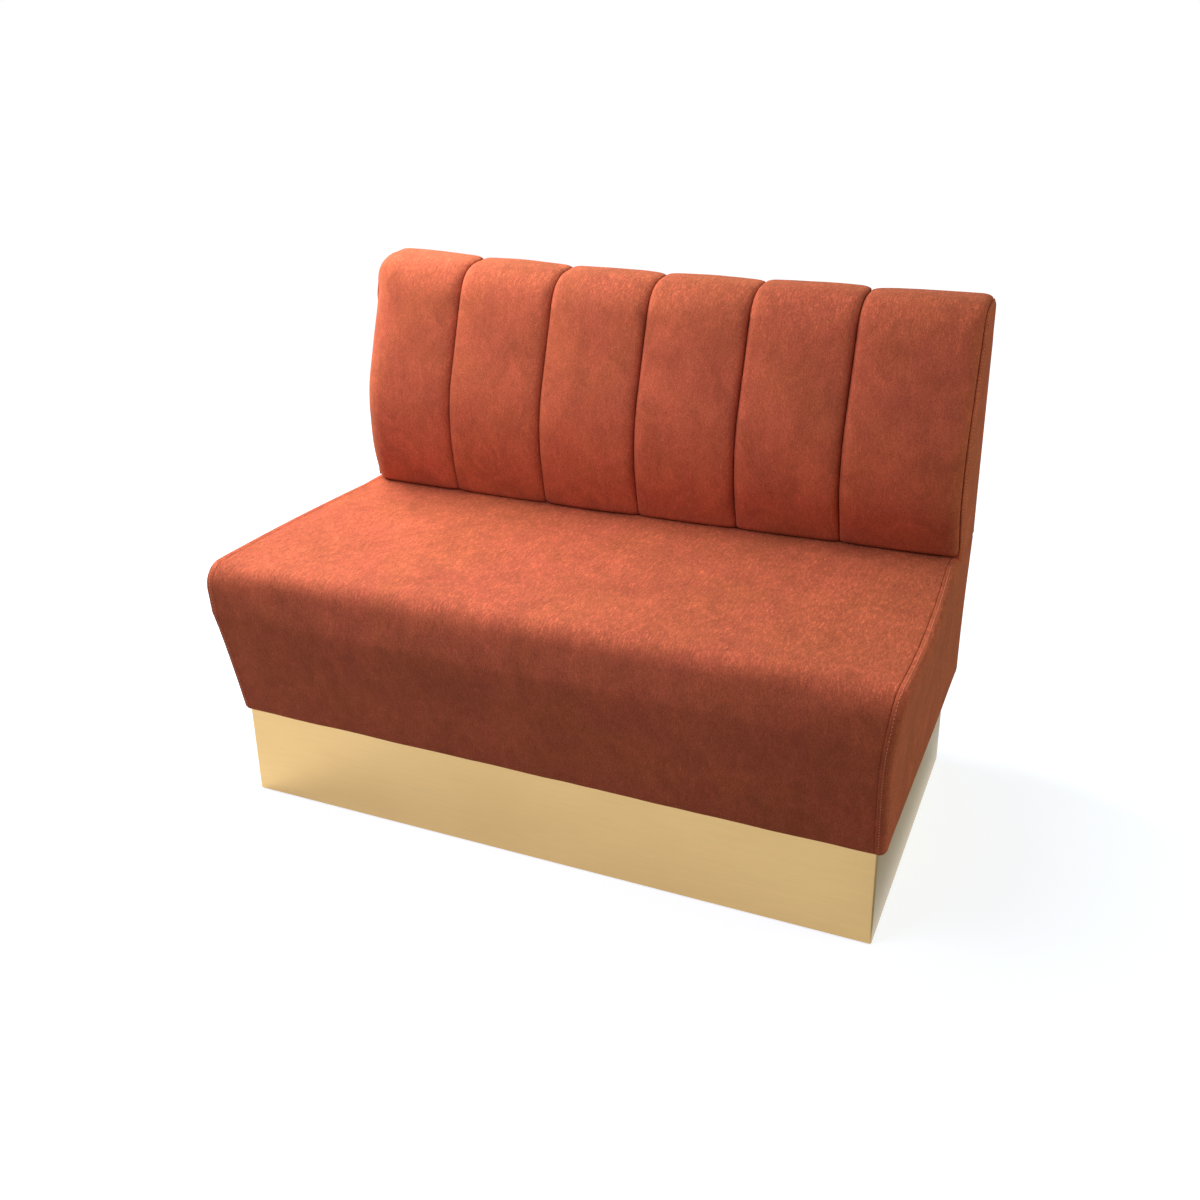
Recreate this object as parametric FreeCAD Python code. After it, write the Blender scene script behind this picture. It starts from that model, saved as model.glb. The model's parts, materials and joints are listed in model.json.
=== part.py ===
"""Restaurant bench: fluted back, upholstered seat and a metal-clad plinth on levelling feet.

Millimetres. X runs along the bench, the seat faces -Y, Z is up.
The origin is on the floor, under the middle of the bench.
"""
import FreeCAD
import Part
import math
import os

# Overall sizes
WIDTH = 1200.0
DEPTH = 690.0
PLINTH_HEIGHT = 172.0
SEAT_RISE = 304.0
BACK_RISE = 434.0

# Plinth
PLINTH_SIDE_INSET = 17.0
PLINTH_FRONT_INSET = 60.0
PLINTH_REAR_INSET = 55.0
FLOOR_GAP = 1.5
CLADDING = 1.2
BEND_RADIUS = 2.0
EDGE_EASE = 3.0
CLEAT_WIDTH = 45.0
CLEAT_HEIGHT = 36.0

# Levelling feet
FOOT_BLOCK = 70.0
FOOT_BLOCK_HEIGHT = 45.0
FOOT_PAD_RADIUS = 26.0
FOOT_PAD_HEIGHT = 10.0
STEM_RADIUS = 5.0
STEM_SPARE = 20.0
SOCKET_WALL = 4.0
THREAD_CLEARANCE = 0.4

# Boards
BOARD = 18.0
DECK = 15.0
BATTEN_WIDTH = 60.0
SKIN = 8.0
REAR_PANEL = 4.0
TOP_RAIL = 36.0
VENT_RADIUS = 20.0
VENT_COLUMNS = 4
VENT_ROWS = 2

# Seat upholstery
SEAT_FOAM = 104.0
SEAT_FALL = 1.7
FRONT_RAKE = 12.0
NOSE_RADIUS = 55.0
SEAT_CROWN = 7.0
COVER = 2.0
FRONT_PAD = 6.0
END_PAD = 8.0
COVER_LAP = 30.0

# Back upholstery
CHANNELS = 6
FOAM_DEPTH = 60.0
TOP_RADIUS = 30.0
TOP_FLAT = 46.0
LEAN = 19.5
LUMBAR_RISE = 148.0
LUMBAR_RADIUS = 300.0
TUCK_RADIUS = 369.0
SEAM_DIP = 8.0
SEAM_TUCK = 12.0
END_FLUTE_EXTRA = 16.0
END_DIP = 16.0
END_FOAM = 6.0
FLUTE_FLATNESS = 4

# Bolts that join the back to the seat and the seat to the plinth
BOLT_RADIUS = 4.0
BOLT_HEAD_RADIUS = 7.5
BOLT_HEAD = 5.3
BOLT_SPARE = 4.0
BOLT_PAIRS = 2
BOLT_END_INSET = 140.0
NUT_HEIGHT = 6.5

# Clearances
GAP = 0.3
BOLT_CLEARANCE = 0.5

# Heights and planes that several pieces share
SEAT_TOP = PLINTH_HEIGHT + SEAT_RISE
BACK_TOP = SEAT_TOP + BACK_RISE
NOSE_Y = -DEPTH / 2
REAR_Y = DEPTH / 2
COVER_END = WIDTH / 2 - COVER
FRAME_END = COVER_END - END_PAD
FRAME_REAR = REAR_Y - COVER
FRAME_BOTTOM = PLINTH_HEIGHT + COVER + GAP
BOARD_FACE = COVER + FRONT_PAD
DECK_TOP = SEAT_TOP - SEAT_FOAM
DECK_UNDER = DECK_TOP - DECK
BATTEN_TOP = PLINTH_HEIGHT + BOARD
PLINTH_END = WIDTH / 2 - PLINTH_SIDE_INSET
PLINTH_FRONT = NOSE_Y + PLINTH_FRONT_INSET
PLINTH_REAR = REAR_Y - PLINTH_REAR_INSET
PLINTH_FRONT_INNER = PLINTH_FRONT + CLADDING + BOARD
PLINTH_REAR_INNER = PLINTH_REAR - BOARD
PLINTH_END_INNER = PLINTH_END - CLADDING - BOARD
FALL = math.radians(SEAT_FALL)
RAKE = math.radians(FRONT_RAKE)
LEAN_ANGLE = math.radians(LEAN)


def point(x, y, z):
    return FreeCAD.Vector(x, y, z)


def box(x0, x1, y0, y1, z0, z1):
    return Part.makeBox(x1 - x0, y1 - y0, z1 - z0, point(x0, y0, z0))


def upright(radius, x, y, z0, z1):
    """A vertical cylinder."""
    return Part.makeCylinder(radius, z1 - z0, point(x, y, z0))


def hexagon(radius, x, y, z0, z1):
    """A six-sided prism, by its corner radius."""
    corners = [point(x + radius * math.cos(math.pi / 3 * n), y + radius * math.sin(math.pi / 3 * n), z0)
               for n in range(7)]
    return Part.Face(Part.makePolygon(corners)).extrude(point(0, 0, z1 - z0))


def on_circle(centre, radius, angle):
    """A (y, z) point on a circle in the side view."""
    return (centre[0] + radius * math.cos(angle), centre[1] + radius * math.sin(angle))


class Outline:
    """A closed side-view outline of lines and arcs, drawn in a plane of constant x."""

    def __init__(self, x, start):
        self.x = x
        self.first = start
        self.last = start
        self.edges = []

    def place(self, spot):
        return point(self.x, spot[0], spot[1])

    def line(self, spot):
        self.edges.append(Part.makeLine(self.place(self.last), self.place(spot)))
        self.last = spot

    def arc(self, centre, radius, begin, end):
        middle = on_circle(centre, radius, (begin + end) / 2)
        finish = on_circle(centre, radius, end)
        curve = Part.Arc(self.place(self.last), self.place(middle), self.place(finish))
        self.edges.append(curve.toShape())
        self.last = finish

    def wire(self):
        self.line(self.first)
        return Part.Wire(self.edges)

    def plate(self, thickness):
        """The outline as a flat piece, from its own plane towards +X."""
        return Part.Face(self.wire()).extrude(point(thickness, 0, 0))


def polygon(x, corners):
    outline = Outline(x, corners[0])
    for corner in corners[1:]:
        outline.line(corner)
    return outline


def mirrored(shape):
    return shape.mirror(point(0, 0, 0), point(1, 0, 0))


def four_corners(shape_at, x, y_front, y_rear):
    """Copies of a piece at the four corners of the plinth."""
    return [shape_at(sx * x, y) for y in (y_front, y_rear) for sx in (-1, 1)]


# Side view of the seat

def nose_centre(drop):
    """Centre of the rounded nose; a dropped section slides down along the raked front."""
    return (NOSE_Y + NOSE_RADIUS + drop * math.tan(RAKE), SEAT_TOP - NOSE_RADIUS - drop)


def front_y(z, inset):
    """The raked front at a height, a distance inside the cover's outer face."""
    centre = nose_centre(0)
    reach = NOSE_RADIUS - inset + (z - centre[1]) * math.sin(RAKE)
    return centre[0] - reach / math.cos(RAKE)


def top_z(y, inset, drop):
    """The falling seat top at a depth, a distance inside the cover's outer face."""
    centre = nose_centre(drop)
    reach = NOSE_RADIUS - inset - (y - centre[0]) * math.sin(FALL)
    return centre[1] + reach / math.cos(FALL)


def seat_drop(x):
    """How far the crowned seat lies below its middle at a place along the bench."""
    return SEAT_CROWN * (x / COVER_END) ** 2


def hem_centre():
    """Centre of the turn where the cover folds under the front board."""
    z = PLINTH_HEIGHT + BOARD_FACE
    return (front_y(z, BOARD_FACE), z)


FRONT_ANGLE = math.pi + RAKE
TOP_ANGLE = math.pi / 2 - FALL
DOWN = -math.pi / 2

# Side view of the back

CREST_RADIUS = TOP_RADIUS + FOAM_DEPTH
END_TUCK = FOAM_DEPTH - END_DIP - END_FOAM
ROLL_CENTRE = (REAR_Y - TOP_FLAT, BACK_TOP - CREST_RADIUS)
LEAN_NORMAL = math.pi - LEAN_ANGLE
BULGE_Z = top_z(ROLL_CENTRE[0], 0, 0) + LUMBAR_RISE
LUMBAR_Y = (ROLL_CENTRE[0]
            + ((BULGE_Z - ROLL_CENTRE[1]) * math.sin(LEAN_ANGLE) - CREST_RADIUS + LUMBAR_RADIUS)
            / math.cos(LEAN_ANGLE))
LUMBAR_CENTRE = (LUMBAR_Y, BULGE_Z)
TUCK_CENTRE = (LUMBAR_Y - LUMBAR_RADIUS + TUCK_RADIUS, BULGE_Z)


def moved(centre, shift):
    return (centre[0] + shift, centre[1])


def tuck_angle(z, inset):
    """Angle on the lower arc of the back's front, at a height."""
    return math.pi + math.asin((BULGE_Z - z) / (TUCK_RADIUS - inset))


def back_front_y(z, inset, shift):
    """The back's front below the lumbar bulge, a distance inside the crest."""
    return on_circle(moved(TUCK_CENTRE, shift), TUCK_RADIUS - inset, tuck_angle(z, inset))[0]


def lean_y(z, inset):
    """The leaning upper front at a height, a distance inside the crest."""
    reach = CREST_RADIUS - inset - (z - ROLL_CENTRE[1]) * math.sin(LEAN_ANGLE)
    return ROLL_CENTRE[0] - reach / math.cos(LEAN_ANGLE)


def climb_front(outline, z_bottom, inset, shift):
    """Goes up the back's front from its foot to the end of the lumbar bulge."""
    outline.arc(moved(TUCK_CENTRE, shift), TUCK_RADIUS - inset, tuck_angle(z_bottom, inset), math.pi)
    outline.arc(moved(LUMBAR_CENTRE, shift), LUMBAR_RADIUS - inset, math.pi, LEAN_NORMAL)


def descend_front(outline, z_bottom, inset):
    outline.arc(LUMBAR_CENTRE, LUMBAR_RADIUS - inset, LEAN_NORMAL, math.pi)
    outline.arc(TUCK_CENTRE, TUCK_RADIUS - inset, math.pi, tuck_angle(z_bottom, inset))


SHELF_TOP = top_z(REAR_Y, COVER + GAP, SEAT_CROWN)
SHELF_UNDER = SHELF_TOP - BOARD
BACK_BOARD_TOP = SHELF_TOP + BOARD
CORE_TOP = BACK_TOP - FOAM_DEPTH
RAIL_UNDER = CORE_TOP - TOP_RAIL
CORE_FRONT = back_front_y(BACK_BOARD_TOP, FOAM_DEPTH, 0)
RISER_FRONT = CORE_FRONT - COVER_LAP
RISER_REAR = RISER_FRONT + BOARD


# Plinth

def plinth_cladding():
    """One metal sheet folded round the front and both ends."""
    outer = BEND_RADIUS + CLADDING
    z0 = FLOOR_GAP
    height = PLINTH_HEIGHT - FLOOR_GAP
    sleeve = box(-PLINTH_END, PLINTH_END, PLINTH_FRONT, PLINTH_REAR, z0, z0 + height)
    corners = [e for e in sleeve.Edges if e.BoundBox.ZLength > height / 2 and e.BoundBox.YMin < 0]
    sleeve = sleeve.makeFillet(outer, corners)
    inner = PLINTH_END - CLADDING
    core = box(-inner, inner, PLINTH_FRONT + CLADDING, PLINTH_REAR + BOARD, z0, z0 + height)
    corners = [e for e in core.Edges if e.BoundBox.ZLength > height / 2 and e.BoundBox.YMin < 0]
    return sleeve.cut(core.makeFillet(BEND_RADIUS, corners))


def plinth_front_board():
    end = PLINTH_END - CLADDING
    face = PLINTH_FRONT + CLADDING
    board = box(-end, end, face, PLINTH_FRONT_INNER, FLOOR_GAP, PLINTH_HEIGHT)
    eased = [e for e in board.Edges if e.BoundBox.ZLength > CLADDING and e.BoundBox.YMax < face + GAP]
    eased = [e for e in eased if e.BoundBox.XLength < GAP]
    return board.makeFillet(EDGE_EASE, eased)


def plinth_end_board():
    return box(PLINTH_END_INNER, PLINTH_END - CLADDING, PLINTH_FRONT_INNER, PLINTH_REAR,
               FLOOR_GAP, PLINTH_HEIGHT)


def plinth_rear_board():
    return box(-PLINTH_END_INNER, PLINTH_END_INNER, PLINTH_REAR_INNER, PLINTH_REAR,
               FLOOR_GAP, PLINTH_HEIGHT)


def plinth_cross_rail():
    return box(-BOARD / 2, BOARD / 2, PLINTH_FRONT_INNER, PLINTH_REAR_INNER,
               FLOOR_GAP, PLINTH_HEIGHT - CLEAT_HEIGHT)


def plinth_cleat(y0, y1, bolt_y):
    """Timber under the plinth's top edge that the seat is bolted down to."""
    cleat = box(-PLINTH_END_INNER, PLINTH_END_INNER, y0, y1, PLINTH_HEIGHT - CLEAT_HEIGHT, PLINTH_HEIGHT)
    hole = BOLT_RADIUS + BOLT_CLEARANCE
    drills = [upright(hole, x, bolt_y, PLINTH_HEIGHT - CLEAT_HEIGHT, PLINTH_HEIGHT) for x in PLINTH_BOLT_X]
    return cleat.cut(drills)


# Levelling feet

BLOCK_UNDER = FOOT_PAD_HEIGHT + GAP
BLOCK_TOP = BLOCK_UNDER + FOOT_BLOCK_HEIGHT
STEM_TOP = BLOCK_TOP + STEM_SPARE
SOCKET_RADIUS = STEM_RADIUS + THREAD_CLEARANCE + SOCKET_WALL
FOOT_X = PLINTH_END_INNER - FOOT_BLOCK / 2
FOOT_FRONT_Y = PLINTH_FRONT_INNER + FOOT_BLOCK / 2
FOOT_REAR_Y = PLINTH_REAR_INNER - FOOT_BLOCK / 2


def foot_block(x, y):
    half = FOOT_BLOCK / 2
    block = box(x - half, x + half, y - half, y + half, BLOCK_UNDER, BLOCK_TOP)
    return block.cut(hexagon(SOCKET_RADIUS, x, y, BLOCK_UNDER, BLOCK_TOP))


def foot_socket(x, y):
    """Six-sided threaded insert, glued into a corner block."""
    bore = upright(STEM_RADIUS + THREAD_CLEARANCE, x, y, BLOCK_UNDER, BLOCK_TOP)
    return hexagon(SOCKET_RADIUS, x, y, BLOCK_UNDER, BLOCK_TOP).cut(bore)


def foot_stem(x, y):
    return upright(STEM_RADIUS, x, y, FOOT_PAD_HEIGHT, STEM_TOP)


def foot_pad(x, y):
    """Six-sided plastic foot, turned by hand or with a spanner."""
    return hexagon(FOOT_PAD_RADIUS, x, y, 0, FOOT_PAD_HEIGHT)


# Seat frame

def seat_gable_outline(x, bottom):
    """Stepped end panel: the front carries the deck, the rear step carries the back."""
    inner = BOARD_FACE + BOARD
    return polygon(x, [
        (front_y(bottom, inner), bottom),
        (front_y(DECK_UNDER, inner), DECK_UNDER),
        (RISER_REAR, DECK_UNDER),
        (RISER_REAR, SHELF_UNDER),
        (FRAME_REAR - BOARD, SHELF_UNDER),
        (FRAME_REAR - BOARD, bottom),
    ])


def seat_gable():
    return seat_gable_outline(FRAME_END - BOARD, FRAME_BOTTOM).plate(BOARD)


def seat_centre_rib():
    return seat_gable_outline(-BOARD / 2, BATTEN_TOP).plate(BOARD)


def raked_sheet(half, inset, thickness, z0, z1):
    """A flat sheet parallel to the seat's raked front."""
    sheet = polygon(-half, [
        (front_y(z0, inset), z0),
        (front_y(z1, inset), z1),
        (front_y(z1, inset + thickness), z1),
        (front_y(z0, inset + thickness), z0),
    ])
    return sheet.plate(2 * half)


def seat_front_board():
    return raked_sheet(FRAME_END, BOARD_FACE, BOARD, FRAME_BOTTOM, DECK_UNDER)


def seat_rear_board():
    return box(-FRAME_END, FRAME_END, FRAME_REAR - BOARD, FRAME_REAR, FRAME_BOTTOM, SHELF_UNDER)


def seat_batten(y0, bolt_y):
    """Rail along the underside of the seat that rests on the plinth's cleat."""
    end = FRAME_END - BOARD
    batten = box(-end, end, y0, y0 + BATTEN_WIDTH, PLINTH_HEIGHT, BATTEN_TOP)
    hole = BOLT_RADIUS + BOLT_CLEARANCE
    return batten.cut([upright(hole, x, bolt_y, PLINTH_HEIGHT, BATTEN_TOP) for x in PLINTH_BOLT_X])


def seat_riser():
    return box(-FRAME_END, FRAME_END, RISER_FRONT, RISER_REAR, DECK_TOP, SHELF_UNDER)


def seat_shelf():
    """Board on the rear step that the back stands on."""
    shelf = box(-FRAME_END, FRAME_END, RISER_FRONT, FRAME_REAR, SHELF_UNDER, SHELF_TOP)
    hole = BOLT_RADIUS + BOLT_CLEARANCE
    return shelf.cut([upright(hole, x, BACK_BOLT_Y, SHELF_UNDER, SHELF_TOP) for x in BACK_BOLT_X])


def seat_deck():
    """Plywood under the foam, drilled so that the cushion can breathe."""
    front = front_y(DECK_UNDER, BOARD_FACE)
    deck = box(-FRAME_END, FRAME_END, front, RISER_REAR, DECK_UNDER, DECK_TOP)
    column_step = 2 * FRAME_END / VENT_COLUMNS
    row_step = (RISER_FRONT - front) / VENT_ROWS
    vents = [upright(VENT_RADIUS, -FRAME_END + (column + 0.5) * column_step,
                     front + (row + 0.5) * row_step, DECK_UNDER, DECK_TOP)
             for column in range(VENT_COLUMNS) for row in range(VENT_ROWS)]
    return deck.cut(vents)


# Seat upholstery

CROWN_STEPS = (-1.0, -0.7, -0.35, 0.0, 0.35, 0.7, 1.0)


def seat_cover_section(x):
    """Side view of the cover: folded under the front, up the rake, over the nose and back."""
    drop = seat_drop(x)
    hem = hem_centre()
    nose = nose_centre(drop)
    rear = CORE_FRONT - GAP
    hem_end = FRONT_BATTEN_Y - GAP
    outline = Outline(x, (hem_end, PLINTH_HEIGHT))
    outline.line((hem[0], PLINTH_HEIGHT))
    outline.arc(hem, BOARD_FACE, DOWN, FRONT_ANGLE - 2 * math.pi)
    outline.line(on_circle(nose, NOSE_RADIUS, FRONT_ANGLE))
    outline.arc(nose, NOSE_RADIUS, FRONT_ANGLE, TOP_ANGLE)
    outline.line((rear, top_z(rear, 0, drop)))
    outline.line((rear, top_z(rear, COVER, drop)))
    outline.line(on_circle(nose, NOSE_RADIUS - COVER, TOP_ANGLE))
    outline.arc(nose, NOSE_RADIUS - COVER, TOP_ANGLE, FRONT_ANGLE)
    outline.line(on_circle(hem, BOARD_FACE - COVER, FRONT_ANGLE))
    outline.arc(hem, BOARD_FACE - COVER, FRONT_ANGLE - 2 * math.pi, DOWN)
    outline.line((hem_end, PLINTH_HEIGHT + COVER))
    return outline.wire()


def seat_foam_section(x):
    """Side view of the seat block, with its nose reaching over the front board."""
    inset = COVER + GAP
    drop = seat_drop(x)
    nose = nose_centre(drop)
    rear = RISER_FRONT
    outline = Outline(x, (front_y(DECK_TOP, inset), DECK_TOP))
    outline.line(on_circle(nose, NOSE_RADIUS - inset, FRONT_ANGLE))
    outline.arc(nose, NOSE_RADIUS - inset, FRONT_ANGLE, TOP_ANGLE)
    outline.line((rear, top_z(rear, inset, drop)))
    outline.line((rear, DECK_TOP))
    return outline.wire()


def along_bench(section, end):
    """A soft form lofted through side views along the bench."""
    return Part.makeLoft([section(step * end) for step in CROWN_STEPS], True, True)


def seat_end_cover():
    """Sewn end panel, with the outline of the cover that it closes."""
    hem = hem_centre()
    nose = nose_centre(SEAT_CROWN)
    outline = Outline(COVER_END, (REAR_Y, PLINTH_HEIGHT))
    outline.line((hem[0], PLINTH_HEIGHT))
    outline.arc(hem, BOARD_FACE, DOWN, FRONT_ANGLE - 2 * math.pi)
    outline.line(on_circle(nose, NOSE_RADIUS, FRONT_ANGLE))
    outline.arc(nose, NOSE_RADIUS, FRONT_ANGLE, TOP_ANGLE)
    outline.line((REAR_Y, top_z(REAR_Y, 0, SEAT_CROWN)))
    return outline.plate(COVER)


def seat_end_pad():
    """Thin foam between an end panel of the frame and the cover."""
    return polygon(FRAME_END, [
        (front_y(FRAME_BOTTOM, BOARD_FACE), FRAME_BOTTOM),
        (front_y(DECK_TOP, BOARD_FACE), DECK_TOP),
        (RISER_FRONT, DECK_TOP),
        (RISER_FRONT, SHELF_TOP),
        (FRAME_REAR, SHELF_TOP),
        (FRAME_REAR, FRAME_BOTTOM),
    ]).plate(END_PAD)


def seat_front_pad():
    return raked_sheet(COVER_END - GAP, COVER + GAP, FRONT_PAD - GAP,
                       PLINTH_HEIGHT + BOARD_FACE, DECK_TOP - GAP)


def seat_rear_cover():
    return box(-COVER_END, COVER_END, FRAME_REAR, REAR_Y, PLINTH_HEIGHT, SHELF_TOP)


# Back frame

def back_rib(x):
    """Upright panel whose front edge gives the back its bulge and lean."""
    inset = FOAM_DEPTH + SKIN
    rear = FRAME_REAR - REAR_PANEL
    outline = Outline(x, (back_front_y(BACK_BOARD_TOP, inset, 0), BACK_BOARD_TOP))
    climb_front(outline, BACK_BOARD_TOP, inset, 0)
    outline.line((lean_y(RAIL_UNDER, inset), RAIL_UNDER))
    outline.line((rear, RAIL_UNDER))
    outline.line((rear, BACK_BOARD_TOP))
    return outline.plate(BOARD)


def back_skin():
    """Bent plywood over the front edges of the ribs."""
    inner = FOAM_DEPTH + SKIN
    outline = Outline(-FRAME_END, (CORE_FRONT, BACK_BOARD_TOP))
    climb_front(outline, BACK_BOARD_TOP, FOAM_DEPTH, 0)
    outline.line((lean_y(RAIL_UNDER, FOAM_DEPTH), RAIL_UNDER))
    outline.line((lean_y(RAIL_UNDER, inner), RAIL_UNDER))
    outline.line(on_circle(LUMBAR_CENTRE, LUMBAR_RADIUS - inner, LEAN_NORMAL))
    descend_front(outline, BACK_BOARD_TOP, inner)
    return outline.plate(2 * FRAME_END)


def back_top_rail():
    """Shaped timber along the top, rounded where the upholstery rolls over it."""
    rear = FRAME_REAR - REAR_PANEL
    outline = Outline(-FRAME_END, (lean_y(RAIL_UNDER, FOAM_DEPTH), RAIL_UNDER))
    outline.line(on_circle(ROLL_CENTRE, TOP_RADIUS, LEAN_NORMAL))
    outline.arc(ROLL_CENTRE, TOP_RADIUS, LEAN_NORMAL, math.pi / 2)
    outline.line((rear, CORE_TOP))
    outline.line((rear, RAIL_UNDER))
    return outline.plate(2 * FRAME_END)


def back_bottom_board():
    rear = FRAME_REAR - REAR_PANEL
    board = box(-FRAME_END, FRAME_END, CORE_FRONT, rear, SHELF_TOP, BACK_BOARD_TOP)
    hole = BOLT_RADIUS + BOLT_CLEARANCE
    return board.cut([upright(hole, x, BACK_BOLT_Y, SHELF_TOP, BACK_BOARD_TOP) for x in BACK_BOLT_X])


def back_rear_panel():
    return box(-FRAME_END, FRAME_END, FRAME_REAR - REAR_PANEL, FRAME_REAR, SHELF_TOP, CORE_TOP)


# Back upholstery

def channel_section(x, dip, shift):
    """Side view of a padded channel: up the front, over the top rail and down to the rear."""
    z_bottom = top_z(CORE_FRONT - FOAM_DEPTH + shift, 0, seat_drop(x)) + GAP
    roll = moved(ROLL_CENTRE, shift)
    rear = FRAME_REAR - GAP
    outline = Outline(x, (back_front_y(z_bottom, dip, shift), z_bottom))
    climb_front(outline, z_bottom, dip, shift)
    outline.line(on_circle(roll, CREST_RADIUS - dip, LEAN_NORMAL))
    outline.arc(roll, CREST_RADIUS - dip, LEAN_NORMAL, math.pi / 2)
    outline.line((rear, BACK_TOP - dip))
    outline.line((rear, z_bottom))
    return outline.wire()


def channel_core():
    """The frame inside the flutes, with the clearance that the foam keeps from it."""
    inset = FOAM_DEPTH - GAP
    outline = Outline(-WIDTH / 2, (CORE_FRONT - GAP, PLINTH_HEIGHT))
    outline.line((back_front_y(BACK_BOARD_TOP, inset, 0), BACK_BOARD_TOP))
    climb_front(outline, BACK_BOARD_TOP, inset, 0)
    outline.line(on_circle(ROLL_CENTRE, CREST_RADIUS - inset, LEAN_NORMAL))
    outline.arc(ROLL_CENTRE, CREST_RADIUS - inset, LEAN_NORMAL, math.pi / 2)
    outline.line((REAR_Y, CORE_TOP + GAP))
    outline.line((REAR_Y, PLINTH_HEIGHT))
    return outline.plate(WIDTH)


CHANNEL_STEPS = (-1.0, -0.9, -0.7, -0.35, 0.35, 0.7, 0.9, 1.0)


def flute_seams():
    """Places of the seams along the bench; the end flutes are wider than the inner ones."""
    pitch = 2 * (COVER_END - END_FLUTE_EXTRA) / CHANNELS
    inner = [pitch * (seam - CHANNELS / 2) for seam in range(1, CHANNELS)]
    return [-COVER_END, *inner, COVER_END]


def back_channel(index):
    """One padded flute, crowned between its seams; the outer flutes round off to the ends."""
    left, right = flute_seams()[index:index + 2]
    half = (right - left) / 2 - GAP
    centre = (left + right) / 2
    sections = []
    for step in CHANNEL_STEPS:
        fade = step ** FLUTE_FLATNESS
        outer = (index == 0 and step < 0) or (index == CHANNELS - 1 and step > 0)
        dip = fade * (END_DIP if outer else SEAM_DIP)
        shift = fade * (END_TUCK if outer else SEAM_TUCK)
        sections.append(channel_section(centre + step * half, dip, shift))
    return Part.makeLoft(sections, True, True).cut(channel_core())


def back_end_cover():
    """Sewn end panel that closes the outer flute."""
    foot_front = CORE_FRONT - FOAM_DEPTH + END_TUCK
    z_front = top_z(foot_front, 0, SEAT_CROWN) + GAP
    roll = moved(ROLL_CENTRE, END_TUCK)
    outline = Outline(COVER_END, (back_front_y(z_front, END_DIP, END_TUCK), z_front))
    climb_front(outline, z_front, END_DIP, END_TUCK)
    outline.line(on_circle(roll, CREST_RADIUS - END_DIP, LEAN_NORMAL))
    outline.arc(roll, CREST_RADIUS - END_DIP, LEAN_NORMAL, math.pi / 2)
    outline.line((REAR_Y, BACK_TOP - END_DIP))
    outline.line((REAR_Y, top_z(REAR_Y, 0, SEAT_CROWN) + GAP))
    return outline.plate(COVER)


def back_end_pad():
    """Thin foam between an end rib and the cover."""
    outline = Outline(FRAME_END, (CORE_FRONT, SHELF_TOP))
    outline.line((CORE_FRONT, BACK_BOARD_TOP))
    climb_front(outline, BACK_BOARD_TOP, FOAM_DEPTH, 0)
    outline.line(on_circle(ROLL_CENTRE, TOP_RADIUS, LEAN_NORMAL))
    outline.arc(ROLL_CENTRE, TOP_RADIUS, LEAN_NORMAL, math.pi / 2)
    outline.line((FRAME_REAR, CORE_TOP))
    outline.line((FRAME_REAR, SHELF_TOP))
    return outline.plate(END_PAD)


def back_rear_cover():
    return box(-COVER_END, COVER_END, FRAME_REAR, REAR_Y, SHELF_TOP, BACK_TOP - END_DIP)


# Bolts

BACK_BOLT_X = [side * (FRAME_END - (2 * pair + 1) * BOLT_END_INSET)
               for pair in range(BOLT_PAIRS) for side in (-1, 1)]
PLINTH_BOLT_X = BACK_BOLT_X[:2]
FRONT_BATTEN_Y = max(front_y(PLINTH_HEIGHT, BOARD_FACE + BOARD), PLINTH_FRONT_INNER)
REAR_BATTEN_Y = PLINTH_REAR_INNER - BATTEN_WIDTH
FRONT_BOLT_Y = (FRONT_BATTEN_Y + PLINTH_FRONT_INNER + CLEAT_WIDTH) / 2
REAR_BOLT_Y = PLINTH_REAR_INNER - CLEAT_WIDTH / 2
BACK_BOLT_Y = (CORE_FRONT + FRAME_REAR - REAR_PANEL) / 2


def bolts(spots, under, top):
    """Hexagon bolts, put in from below."""
    made = []
    for x, y in spots:
        head = hexagon(BOLT_HEAD_RADIUS, x, y, under - BOLT_HEAD, under)
        shank = upright(BOLT_RADIUS, x, y, under, top + NUT_HEIGHT + BOLT_SPARE)
        made.append(head.fuse(shank))
    return Part.makeCompound(made)


def nuts(spots, top):
    made = []
    for x, y in spots:
        bore = upright(BOLT_RADIUS + GAP, x, y, top, top + NUT_HEIGHT)
        made.append(hexagon(BOLT_HEAD_RADIUS, x, y, top, top + NUT_HEIGHT).cut(bore))
    return Part.makeCompound(made)


# All pieces by name

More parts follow.
